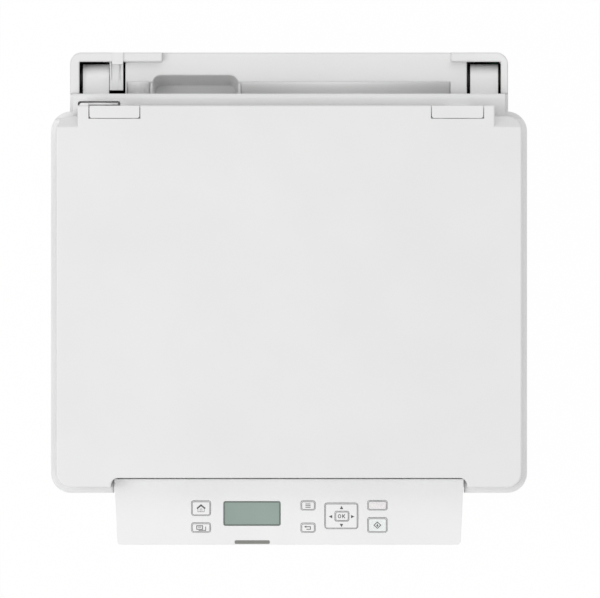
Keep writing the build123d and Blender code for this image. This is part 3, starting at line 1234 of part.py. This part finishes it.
for name, seat in KEYS.items():
    key(seat, name)
key(PAD_KEY, "direction_pad", hole=OK_KEY)
key(OK_KEY, "ok_key", flange_depth=PANEL_WALL + FLANGE_T + KEY_TRAVEL + 0.2)

PANEL_BOARD_W = PANEL_W - 82.6
PANEL_BOARD_D = 36.0
with BuildPart() as panel_board:
    with BuildSketch(panel_plane(BOARD_DEPTH)):
        with Locations((0, PANEL_DEPTH / 2 - 2)):
            Rectangle(PANEL_BOARD_W, PANEL_BOARD_D)
    extrude(amount=-BOARD_T)
    with BuildSketch(panel_plane(BOARD_DEPTH + BOARD_T)):
        with Locations((0, PANEL_DEPTH / 2 - 2)):
            with GridLocations(PANEL_BOARD_W - 20, PANEL_BOARD_D - 16, 2, 2):
                Rectangle(5.0, 5.0)
    extrude(amount=-(PANEL_WALL + PANEL_HOLLOW - BOARD_DEPTH - BOARD_T))
finish(panel_board, "panel_board")

with BuildPart() as display:
    with BuildSketch(panel_plane(0.4)):
        panel_shape(DISPLAY, 0.05)
    extrude(amount=-(BOARD_DEPTH - 0.4))
finish(display, "display")
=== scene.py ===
import bpy
import bmesh
import json
import math
from mathutils import Matrix, Vector


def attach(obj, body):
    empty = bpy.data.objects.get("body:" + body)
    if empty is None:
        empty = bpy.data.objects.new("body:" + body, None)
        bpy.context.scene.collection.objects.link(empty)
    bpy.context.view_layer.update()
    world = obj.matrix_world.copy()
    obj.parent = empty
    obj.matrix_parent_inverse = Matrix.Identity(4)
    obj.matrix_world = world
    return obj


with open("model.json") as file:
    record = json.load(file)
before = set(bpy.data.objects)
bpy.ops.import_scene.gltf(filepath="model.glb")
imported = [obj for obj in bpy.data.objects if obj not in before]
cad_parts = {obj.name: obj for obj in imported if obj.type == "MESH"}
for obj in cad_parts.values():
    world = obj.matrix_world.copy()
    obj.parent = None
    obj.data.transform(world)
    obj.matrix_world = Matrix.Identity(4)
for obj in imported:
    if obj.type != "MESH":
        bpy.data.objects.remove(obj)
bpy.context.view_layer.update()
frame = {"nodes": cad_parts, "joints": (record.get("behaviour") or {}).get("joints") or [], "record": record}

# Camera: straight down, with the photograph's size, the pixel of the model's origin, and the scale, which
# holds near the height of the lid. The lens and the sensor are in millimetres.
PHOTO = (600, 598)
PHOTO_ORIGIN = (289.0, 298.3)
METRES_PER_PIXEL = 0.00078
SCALE_HEIGHT = 0.25
LENS = 1000.0
SENSOR = 36.0
CLIP_END = 100.0

# Light: each lamp has its place, its diameter and its power in watts. The sky has a strength. The floor has
# half its width, and the share of white that the camera sees there.
LAMPS = {
    "left key light": ((-1.9, -0.4, 2.9), 2.0, 34.5),
    "rear fill light": ((0.5, 2.1, 2.7), 2.2, 16.5),
    "front fill light": ((1.3, -2.6, 2.1), 2.2, 14.5),
}
LAMP_AIM = Vector((0, 0, 0.15))
SKY_STRENGTH = 0.64
FLOOR_HALF = 8.0
FLOOR_WHITE = 0.98

# Panel: its front edge and how far the keys stand above it, as in the model
PANEL_EDGE = Vector((0.0, -0.1925, 0.226))
KEY_PROUD = 0.0009

# Printing on the keys: how far it reaches above and below their tops, the line round each key, the tints and
# the steps of a rounded corner
INK = 0.00006
OUTLINE_MARGIN = 0.00035
OUTLINE_RADIUS = 0.0014
OUTLINE_WIDTH = 0.00045
TINT_MARGIN = 0.0012
TINT_RADIUS = 0.0008
CORNER_STEPS = 6

# Frame round the display, just under the panel's plane, with its spans in x and in y on plan in millimetres
DISPLAY_SPANS = ((-50.9, -6.9), (-177.4, -158.8))
DISPLAY_MARGIN = 0.0001
DISPLAY_RADIUS = 0.0012
DISPLAY_LINE = 0.0007
DISPLAY_TOP = -0.0002
DISPLAY_BOTTOM = -0.0005

# Slope from the rear deck to the channel in front of it, on both sides of the finger recess
DECK_TOP = 0.19
RAMP_REAR = 0.1698
RAMP_FRONT = 0.1585
RAMP_DROP = 0.0024
RAMP_DEPTH = 0.0042
RAMP_SPANS = ((-0.1268, -0.1092), (-0.0376, 0.1262))
RAMP_STEPS = 8

# Strip that carries the lid's tab on behind the left hinge leaf, as spans in x, y and z
TAB_X = (-0.1570, -0.1335)
TAB_Y = (0.1510, 0.1524)
TAB_Z = (0.2505, 0.2533)

# Marks on the keys, in millimetres: half the width of a stroke, the size of an arrowhead with the angles of
# its corners, and the letter O with its middle, its radii in x and in y, and the angle between its points
MILLIMETRE = 0.001
STROKE = 0.28
FINE_STROKE = STROKE / 2
ARROW = 1.65
ARROW_CORNERS = (0, 125, 235)
ROUND_MIDDLE = -1.9
ROUND_OUTER = (1.3, 1.6)
ROUND_INNER = (0.75, 1.05)
ROUND_STEP = 20

# Moulded plastic: the shades of its flow marks, the shade of a rubbed edge, the cosines between face and
# rounded edge over which that shade fades out, and how far the roughness strays
FLOW_SHADES = (0.985, 1.015)
RUBBED_SHADE = 0.93
RUBBED_SPAN = (0.86, 0.99)
ROUGHNESS_SPREAD = 0.06

WHITE = (1.0, 1.0, 1.0, 1.0)
BLACK = (0.0, 0.0, 0.0, 1.0)


def linear(grey):
    """Linear value of a display value between 0 and 1."""
    return grey / 12.92 if grey <= 0.04045 else ((grey + 0.055) / 1.055) ** 2.4


def tone(red, green, blue):
    """A colour given as display values out of 255."""
    return (linear(red / 255), linear(green / 255), linear(blue / 255), 1.0)


def shade(colour, amount):
    """A colour made lighter or darker by a factor."""
    return tuple(channel * amount for channel in colour[:3]) + (1.0,)


class Tree:
    """A node tree with short calls for adding and joining nodes."""

    def __init__(self, tree):
        self.tree = tree

    def add(self, kind, inputs=(), **settings):
        node = self.tree.nodes.new(kind)
        for key, value in settings.items():
            setattr(node, key, value)
        for key, value in dict(inputs).items():
            node.inputs[key].default_value = value
        return node

    def join(self, source, target):
        self.tree.links.new(source, target)

    def combine(self, operation, first, second):
        """The result of an operation on two outputs."""
        node = self.add("ShaderNodeMath", operation=operation)
        self.join(first, node.inputs[0])
        self.join(second, node.inputs[1])
        return node.outputs["Value"]

    def seen_white(self, shader, output, share=1.0):
        """Join a shader to an output, covered with a share of white for the camera, mirrors and glass."""
        path = self.add("ShaderNodeLightPath")
        seen = self.combine("MAXIMUM", path.outputs["Is Camera Ray"], path.outputs["Is Glossy Ray"])
        seen = self.combine("MAXIMUM", seen, path.outputs["Is Transmission Ray"])
        white = self.add("ShaderNodeMath", {1: share}, operation="MULTIPLY")
        glow = self.add("ShaderNodeEmission", {"Strength": 1.0})
        mix = self.add("ShaderNodeMixShader")
        self.join(seen, white.inputs[0])
        self.join(white.outputs["Value"], mix.inputs["Fac"])
        self.join(shader, mix.inputs[1])
        self.join(glow.outputs["Emission"], mix.inputs[2])
        self.join(mix.outputs["Shader"], self.tree.nodes[output].inputs["Surface"])


class Material(Tree):
    """A material, with short calls for its textures and its surface."""

    def __init__(self, name):
        self.material = bpy.data.materials.new(name)
        self.material.use_nodes = True
        super().__init__(self.material.node_tree)
        self.shader = self.tree.nodes["Principled BSDF"]

    def noise(self, scale, detail=2.0, stretch=None):
        """Noise in the object's own metres, stretched where a vector is given."""
        place = self.add("ShaderNodeTexCoord").outputs["Object"]
        if stretch:
            mapping = self.add("ShaderNodeMapping", {"Scale": stretch})
            self.join(place, mapping.inputs["Vector"])
            place = mapping.outputs["Vector"]
        texture = self.add("ShaderNodeTexNoise", {"Scale": scale, "Detail": detail})
        self.join(place, texture.inputs["Vector"])
        return texture.outputs["Fac"]

    def blend(self, factor, low, high, span=(0.3, 0.7)):
        """A colour that runs from low to high as the factor crosses the span."""
        ramp = self.add("ShaderNodeValToRGB")
        for element, position, colour in zip(ramp.color_ramp.elements, span, (low, high)):
            element.position = position
            element.color = colour
        self.join(factor, ramp.inputs["Fac"])
        return ramp.outputs["Color"]

    def give(self, **values):
        """Plain values for the shader's inputs, with underscores for the spaces in their names."""
        for key, value in values.items():
            self.shader.inputs[key.replace("_", " ")].default_value = value

    def colour(self, source):
        self.join(source, self.shader.inputs["Base Color"])

    def roughness(self, factor, low, high, span=(0.0, 1.0)):
        """Roughness that runs from low to high as the factor crosses the span."""
        limits = {"From Min": span[0], "From Max": span[1], "To Min": low, "To Max": high}
        node = self.add("ShaderNodeMapRange", limits)
        self.join(factor, node.inputs["Value"])
        self.join(node.outputs["Result"], self.shader.inputs["Roughness"])

    def bump(self, height, depth, strength, normal=None):
        """Relief of the given depth, on top of another normal where one is given."""
        node = self.add("ShaderNodeBump", {"Strength": strength, "Distance": depth})
        self.join(height, node.inputs["Height"])
        if normal:
            self.join(normal, node.inputs["Normal"])
        self.join(node.outputs["Normal"], self.shader.inputs["Normal"])


def moulded(name, colour, roughness=0.5, grain=1800.0, depth=0.00003, round_edge=0.0004):
    """Moulded plastic: spark-eroded grain, faint flow marks, rounded and slightly rubbed edges."""
    look = Material(name)
    flow = look.blend(look.noise(scale=14.0, detail=3.0), *(shade(colour, amount) for amount in FLOW_SHADES))
    soft = look.add("ShaderNodeBevel", {"Radius": round_edge}, samples=4).outputs["Normal"]
    facing = look.add("ShaderNodeVectorMath", operation="DOT_PRODUCT")
    look.join(soft, facing.inputs[0])
    look.join(look.add("ShaderNodeNewGeometry").outputs["Normal"], facing.inputs[1])
    edge = look.blend(facing.outputs["Value"], WHITE, BLACK, RUBBED_SPAN)
    rub = look.combine("MULTIPLY", edge, look.noise(scale=160.0, detail=3.0))
    mix = look.add("ShaderNodeMix", {"B": shade(colour, RUBBED_SHADE)}, data_type="RGBA")
    look.join(rub, mix.inputs["Factor"])
    look.join(flow, mix.inputs["A"])
    look.colour(mix.outputs["Result"])
    look.roughness(look.noise(scale=45.0), roughness - ROUGHNESS_SPREAD, roughness + ROUGHNESS_SPREAD)
    look.bump(look.noise(scale=grain, detail=1.0), depth, strength=0.6, normal=soft)
    return look.material


def metal(name, colour, roughness):
    """Rolled or ground steel, with fine lines across its Z."""
    look = Material(name)
    lines = look.noise(scale=90.0, detail=4.0, stretch=(1.0, 1.0, 40.0))
    look.give(Metallic=1.0)
    look.colour(look.blend(lines, shade(colour, 0.85), shade(colour, 1.1)))
    look.roughness(lines, roughness - 0.08, roughness + 0.1)
    look.bump(lines, depth=0.00002, strength=0.5)
    return look.material


def rubber(name, colour):
    """Ground rubber with a dusty bloom."""
    look = Material(name)
    look.give(Roughness=0.8, Specular_IOR_Level=0.3)
    look.colour(look.blend(look.noise(scale=70.0, detail=4.0), shade(colour, 0.8), shade(colour, 1.5)))
    look.bump(look.noise(scale=2600.0), depth=0.00006, strength=0.8)
    return look.material


def board(name, colour):
    """Solder mask over copper tracks."""
    look = Material(name)
    look.give(Roughness=0.35)
    tracks = look.add("ShaderNodeTexVoronoi", {"Scale": 220.0}, distance="CHEBYCHEV", feature="F2")
    look.join(look.add("ShaderNodeTexCoord").outputs["Object"], tracks.inputs["Vector"])
    distance = tracks.outputs["Distance"]
    look.colour(look.blend(distance, shade(colour, 0.75), shade(colour, 1.5), span=(0.45, 0.55)))
    look.bump(distance, depth=0.00004, strength=0.4)
    return look.material


def platen(name):
    """Clear float glass, faintly green, with a little dust."""
    look = Material(name)
    look.give(Base_Color=(0.9, 0.96, 0.94, 1.0), Transmission_Weight=1.0, IOR=1.5)
    look.roughness(look.noise(scale=60.0, detail=5.0), 0.02, 0.12, span=(0.55, 0.8))
    return look.material


def liquid_crystal(name):
    """Unlit reflective display behind a clear window."""
    look = Material(name)
    look.give(Roughness=0.35, Coat_Weight=0.3, Coat_Roughness=0.1)
    look.colour(look.blend(look.noise(scale=30.0, detail=1.0), tone(137, 154, 146), tone(143, 160, 152)))
    look.bump(look.noise(scale=3000.0, detail=0.0), depth=0.000004, strength=0.4)
    return look.material


def ink(name, colour):
    """Screen-printed ink, a little uneven."""
    look = Material(name)
    look.give(Roughness=0.55)
    look.colour(look.blend(look.noise(scale=900.0), shade(colour, 0.9), shade(colour, 1.15)))
    look.bump(look.noise(scale=2500.0, detail=1.0), depth=0.000004, strength=0.5)
    return look.material


def paper(name):
    """Matt white paper that looks all white from the camera."""
    look = Material(name)
    look.give(Roughness=0.9)
    look.colour(look.blend(look.noise(scale=3.0), shade(WHITE, 0.86), shade(WHITE, 0.88)))
    look.seen_white(look.shader.outputs["BSDF"], "Material Output", FLOOR_WHITE)
    return look.material


# A material for each slot of the model, and other ones for three of its nodes
SLOT_MATERIALS = {
    "casing_white": moulded("casing plastic", tone(230, 230, 230)),
    "lid_white": moulded("lid plastic", tone(225, 225, 225), roughness=0.48, grain=1500.0),
    "inner_grey": moulded("inner plastic", tone(96, 98, 100), roughness=0.55),
    "black_plastic": moulded("black plastic", tone(38, 38, 40)),
    "steel": metal("zinc plated steel", (0.62, 0.63, 0.64, 1.0), roughness=0.38),
    "rubber": rubber("rubber", (0.035, 0.035, 0.036, 1.0)),
    "drum_green": moulded("drum coating", tone(40, 110, 100), roughness=0.14, grain=400.0, depth=0.000004),
    "gear_white": moulded("acetal", tone(228, 226, 216), roughness=0.4, grain=900.0),
    "glass": platen("platen glass"),
    "display": liquid_crystal("display"),
    "light_pipe": moulded("light pipe", tone(126, 126, 122), roughness=0.3, grain=600.0),
    "board_green": board("circuit board", (0.02, 0.16, 0.07, 1.0)),
    "backing_white": moulded("backing film", tone(246, 246, 245), roughness=0.6, grain=900.0),
    "key_white": moulded("key plastic", tone(234, 234, 234), roughness=0.4, grain=2200.0, depth=0.00001),
}
NODE_MATERIALS = {
    "panel_housing": moulded(
        "panel plastic", tone(233, 233, 233), roughness=0.45, grain=2000.0, depth=0.00002,
    ),
    # Painted shade: the steel hinge brackets get a near-black colour that stands in for the shade deep in
    # the hinge wells
    "hinge_brackets": moulded("bracket painted shade", tone(44, 44, 46), roughness=0.6),
    "rear_top_cover": moulded("deck plastic", tone(229, 229, 229), round_edge=0.0022),
}
slot_of = {row["node"]: row["material_slot"] for row in frame["record"]["subparts"]}
for node_name, node in frame["nodes"].items():
    node.data.materials.clear()
    node.data.materials.append(NODE_MATERIALS.get(node_name, SLOT_MATERIALS[slot_of[node_name]]))


def bridge(build, first, second):
    """Four-sided faces all round between two loops of as many vertices."""
    for index in range(len(first)):
        after = (index + 1) % len(first)
        build.faces.new([first[index], first[after], second[after], second[index]])


def new_piece(name, build, material):
    """Turn a bmesh into an object of the scene, with its faces outwards."""
    bmesh.ops.recalc_face_normals(build, faces=build.faces)
    mesh = bpy.data.meshes.new(name)
    build.to_mesh(mesh)
    build.free()
    mesh.materials.append(material)
    piece = bpy.data.objects.new(name, mesh)
    bpy.context.scene.collection.objects.link(piece)
    return piece


# The panel's own tilted plane, square to the way in which its keys move
press = next(joint for joint in frame["joints"] if joint["name"] == "home_key_press")
panel_normal = -Vector(press["axis"]).normalized()
panel_up = panel_normal.cross(Vector((1, 0, 0))).normalized()
PANEL = Matrix((
    (1, panel_up.x, panel_normal.x, PANEL_EDGE.x),
    (0, panel_up.y, panel_normal.y, PANEL_EDGE.y),
    (0, panel_up.z, panel_normal.z, PANEL_EDGE.z),
    (0, 0, 0, 1),
))


def on_panel(x, y):
    """A plan position in millimetres, in the panel plane's own metres."""
    return Vector((x * MILLIMETRE, (y * MILLIMETRE - PANEL_EDGE.y) / panel_up.y))


def field(spans, margin=0.0):
    """Low and high corner on the panel of spans in x and in y, drawn in by a margin."""
    (left, right), (front, rear) = spans
    inset = Vector((margin, margin))
    return on_panel(left, front) + inset, on_panel(right, rear) - inset


def layers(build, loop, bottom, top):
    """The vertices of a loop at two heights."""
    return [[build.verts.new((x, y, z)) for x, y in loop] for z in (bottom, top)]


def prism(name, loops, bottom, top, material, body):
    """Closed thin prisms on the panel: a list of points is a full one, and a pair of lists is a ring."""
    build = bmesh.new()
    for loop in loops:
        if isinstance(loop, tuple):
            outer_low, outer_high = layers(build, loop[0], bottom, top)
            inner_low, inner_high = layers(build, loop[1], bottom, top)
            bridge(build, outer_low, outer_high)
            bridge(build, inner_high, inner_low)
            bridge(build, outer_high, inner_high)
            bridge(build, inner_low, outer_low)
        else:
            low, high = layers(build, loop, bottom, top)
            bridge(build, low, high)
            build.faces.new(high)
            build.faces.new(low[::-1])
    piece = new_piece(name, build, material)
    piece.matrix_world = PANEL
    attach(piece, body)


def printed(name, loops, material, key, thickness=INK):
    """Printing on the top of a key, sunk into it a little."""
    prism(name, loops, KEY_PROUD - INK, KEY_PROUD + thickness, material, key)


def rounded(low, high, radius):
    """Points of a rounded rectangle, counter-clockwise."""
    points = []
    corners = (
        (high.x - radius, high.y - radius, 0),
        (low.x + radius, high.y - radius, 90),
        (low.x + radius, low.y + radius, 180),
        (high.x - radius, low.y + radius, 270),
    )
    for x, y, start in corners:
        for step in range(CORNER_STEPS + 1):
            angle = math.radians(start + 90 * step / CORNER_STEPS)
            points.append((x + radius * math.cos(angle), y + radius * math.sin(angle)))
    return points


def outline(low, high, radius, width):
    """A ring just inside a rounded rectangle."""
    inset = Vector((width, width))
    return (rounded(low, high, radius), rounded(low + inset, high - inset, radius - width))


def about(centre, polygon):
    """A polygon given in millimetres about a centre."""
    return [(centre.x + x * MILLIMETRE, centre.y + y * MILLIMETRE) for x, y in polygon]


def bar(x0, y0, x1, y1, half):
    """A straight stroke between two points, with half its width."""
    along = Vector((x1 - x0, y1 - y0)).normalized()
    side = Vector((-along.y, along.x)) * half
    return [
        (x0 - side.x, y0 - side.y), (x1 - side.x, y1 - side.y),
        (x1 + side.x, y1 + side.y), (x0 + side.x, y0 + side.y),
    ]


def bars(lines, half=STROKE):
    """A stroke for each line."""
    return [bar(*line, half) for line in lines]


def arrowhead(turn):
    """A triangle that points in the direction of an angle."""
    angles = [math.radians(turn + corner) for corner in ARROW_CORNERS]
    return [(ARROW * math.cos(angle), ARROW * math.sin(angle)) for angle in angles]


def ellipse(middle, radii):
    """Points of an ellipse with its middle on the X axis."""
    angles = [math.radians(degrees) for degrees in range(0, 360, ROUND_STEP)]
    return [(middle + radii[0] * math.cos(angle), radii[1] * math.sin(angle)) for angle in angles]


ROOF = [(-3.6, 0.3), (0, 3.3), (3.6, 0.3), (2.8, -0.6), (0, 1.7), (-2.8, -0.6)]
HOUSE = [ROOF] + bars((
    (-2.5, -2.8, -2.5, -0.2), (2.5, -2.8, 2.5, -0.2), (-2.3, -2.7, 2.3, -2.7),
    (-0.7, -2.5, -0.7, -0.6), (0.7, -2.5, 0.7, -0.6), (-0.8, -0.4, 0.8, -0.4),
), FINE_STROKE)
CARDS = bars((
    (-3.4, -1.2, 1.2, -1.2), (-3.4, 1.6, 1.2, 1.6), (-3.4, -1.45, -3.4, 1.85), (1.2, -1.45, 1.2, 1.85),
    (2.0, -2.1, 3.6, -2.1), (3.6, -2.35, 3.6, 0.9), (-2.0, -2.1, 2.0, -2.1), (-2.4, 0.5, 0.2, 0.5),
))
LIST = bars([(-2.0, y, 2.0, y) for y in (-1.3, 0.0, 1.3)])
BACK_TIP = [(-3.0, 0.9), (-1.4, -0.1), (-1.4, 1.9)]
BACK = bars(((-1.2, -1.1, 1.9, -1.1), (1.9, -1.35, 1.9, 1.1), (-1.4, 0.9, 2.1, 0.9))) + [BACK_TIP]
START_TIP = [(-1.0, -0.1), (0, -1.4), (1.0, -0.1)]
START = bars(((0, -1.2, 0, 1.2),)) + [START_TIP]
DIAMOND = ([(0, -2.9), (3.1, 0), (0, 2.9), (-3.1, 0)], [(0, -2.1), (2.2, 0), (0, 2.1), (-2.2, 0)])
LETTER_O = (ellipse(ROUND_MIDDLE, ROUND_OUTER), ellipse(ROUND_MIDDLE, ROUND_INNER))
LETTER_K = bars(((0.5, -1.6, 0.5, 1.6), (0.7, -0.2, 2.4, 1.5), (0.9, 0.3, 2.4, -1.5)))

# The spans of each key in x and in y on plan, in millimetres
KEYS = {
    "home_key": ((-76.0, -61.4), (-169.6, -158.3)),
    "copy_key": ((-76.0, -61.4), (-182.7, -175.5)),
    "menu_key": ((9.4, 20.3), (-165.3, -158.3)),
    "back_key": ((9.4, 20.3), (-182.7, -175.7)),
    "stop_key": ((61.6, 76.5), (-165.3, -158.1)),
    "start_key": ((61.6, 76.5), (-182.7, -171.5)),
    "ok_key": ((36.0, 46.7), (-173.9, -166.3)),
    "direction_pad": ((28.0, 53.7), (-179.9, -160.0)),
}
INK_DARK = ink("printed grey", tone(78, 78, 80))
INK_LINE = ink("printed outline", tone(118, 118, 120))
INK_GREEN = ink("start tint", tone(226, 231, 229))
INK_PINK = ink("stop tint", tone(229, 225, 226))
INK_FRAME = ink("display border", tone(104, 114, 108))
MARKS = {"home_key": HOUSE, "copy_key": CARDS, "menu_key": LIST, "back_key": BACK, "start_key": START}
TINTS = {"stop_key": INK_PINK, "start_key": INK_GREEN}
# The place of each arrowhead of the pad on plan, in millimetres, and the angle that it points at
ARROWS = ((41.0, -163.6, 90), (41.0, -177.0, 270), (32.8, -170.4, 180), (49.4, -170.4, 0))


def middle(key):
    """The middle of a key on the panel."""
    low, high = field(KEYS[key])
    return (low + high) / 2


for key, spans in KEYS.items():
    line = outline(*field(spans, OUTLINE_MARGIN), OUTLINE_RADIUS, OUTLINE_WIDTH)
    printed(f"{key}_outline", [line], INK_LINE, key)
    if key in MARKS:
        printed(f"{key}_mark", [about(middle(key), polygon) for polygon in MARKS[key]], INK_DARK, key)
for key, tint in TINTS.items():
    printed(f"{key}_tint", [rounded(*field(KEYS[key], TINT_MARGIN), TINT_RADIUS)], tint, key, INK / 2)
diamond = tuple(about(middle("start_key"), loop) for loop in DIAMOND)
printed("start_key_diamond", [diamond], INK_DARK, "start_key")
for index, (x, y, turn) in enumerate(ARROWS):
    printed(f"pad_arrow_{index}", [about(on_panel(x, y), arrowhead(turn))], INK_DARK, "direction_pad")
letter_o = tuple(about(middle("ok_key"), loop) for loop in LETTER_O)
printed("ok_key_round", [letter_o], INK_DARK, "ok_key")
printed("ok_key_stem", [about(middle("ok_key"), polygon) for polygon in LETTER_K], INK_DARK, "ok_key")
display_ring = outline(*field(DISPLAY_SPANS, DISPLAY_MARGIN), DISPLAY_RADIUS, DISPLAY_LINE)
prism("display_frame", [display_ring], DISPLAY_BOTTOM, DISPLAY_TOP, INK_FRAME, "scanner")


def extrusion(name, profile, span, material, body):
    """A moulded strip along a span in X, with an outline of (y, z) points."""
    build = bmesh.new()
    left, right = [[build.verts.new((x, y, z)) for y, z in profile] for x in span]
    build.faces.new(left[::-1])
    build.faces.new(right)
    bridge(build, left, right)
    for face in build.faces:
        face.smooth = len(face.verts) == 4
    piece = new_piece(name, build, material)
    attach(piece, body)


def ramp_point(share):
    """A point of the slope, from its rear edge at 0 to its front edge at 1, level at both."""
    fall = 0.5 - 0.5 * math.cos(math.pi * share)
    return (RAMP_REAR - share * (RAMP_REAR - RAMP_FRONT), DECK_TOP - RAMP_DROP * fall)


ramp = [ramp_point(step / RAMP_STEPS) for step in range(RAMP_STEPS + 1)]
ramp += [(RAMP_FRONT, DECK_TOP - RAMP_DEPTH), (RAMP_REAR, DECK_TOP - RAMP_DEPTH)]
for index, span in enumerate(RAMP_SPANS):
    extrusion(f"channel_ramp_{index}", ramp, span, NODE_MATERIALS["rear_top_cover"], "body")
tab = [(TAB_Y[0], TAB_Z[0]), (TAB_Y[1], TAB_Z[0]), (TAB_Y[1], TAB_Z[1]), (TAB_Y[0], TAB_Z[1])]
extrusion("lid_tab", tab, TAB_X, SLOT_MATERIALS["lid_white"], "lid")

# Lamps
for name, (place, diameter, power) in LAMPS.items():
    lamp = bpy.data.lights.new(name, "AREA")
    lamp.shape = "DISK"
    lamp.size = diameter
    lamp.energy = power
    light = bpy.data.objects.new(name, lamp)
    light.location = place
    light.rotation_mode = "QUATERNION"
    light.rotation_quaternion = (LAMP_AIM - Vector(place)).to_track_quat("-Z", "Y")
    bpy.context.scene.collection.objects.link(light)

# World
world = bpy.data.worlds.new("studio")
bpy.context.scene.world = world
world.use_nodes = True
sky = world.node_tree.nodes["Background"]
sky.inputs["Color"].default_value = WHITE
sky.inputs["Strength"].default_value = SKY_STRENGTH
Tree(world.node_tree).seen_white(sky.outputs["Background"], "World Output")

# Floor
floor_mesh = bpy.data.meshes.new("floor")
corners = [(x * FLOOR_HALF, y * FLOOR_HALF, 0) for x, y in ((-1, -1), (1, -1), (1, 1), (-1, 1))]
floor_mesh.from_pydata(corners, [], [(0, 1, 2, 3)])
floor_mesh.materials.append(paper("floor paper"))
floor = bpy.data.objects.new("floor", floor_mesh)
bpy.context.scene.collection.objects.link(floor)

# Camera
camera_data = bpy.data.cameras.new("camera")
camera_data.lens = LENS
camera_data.sensor_width = SENSOR
camera_data.clip_end = CLIP_END
camera = bpy.data.objects.new("camera", camera_data)
camera.location = (
    (PHOTO[0] / 2 - PHOTO_ORIGIN[0]) * METRES_PER_PIXEL,
    (PHOTO_ORIGIN[1] - PHOTO[1] / 2) * METRES_PER_PIXEL,
    SCALE_HEIGHT + PHOTO[0] * METRES_PER_PIXEL * LENS / SENSOR,
)
bpy.context.scene.collection.objects.link(camera)
bpy.context.scene.camera = camera
bpy.context.scene.view_settings.view_transform = "Standard"
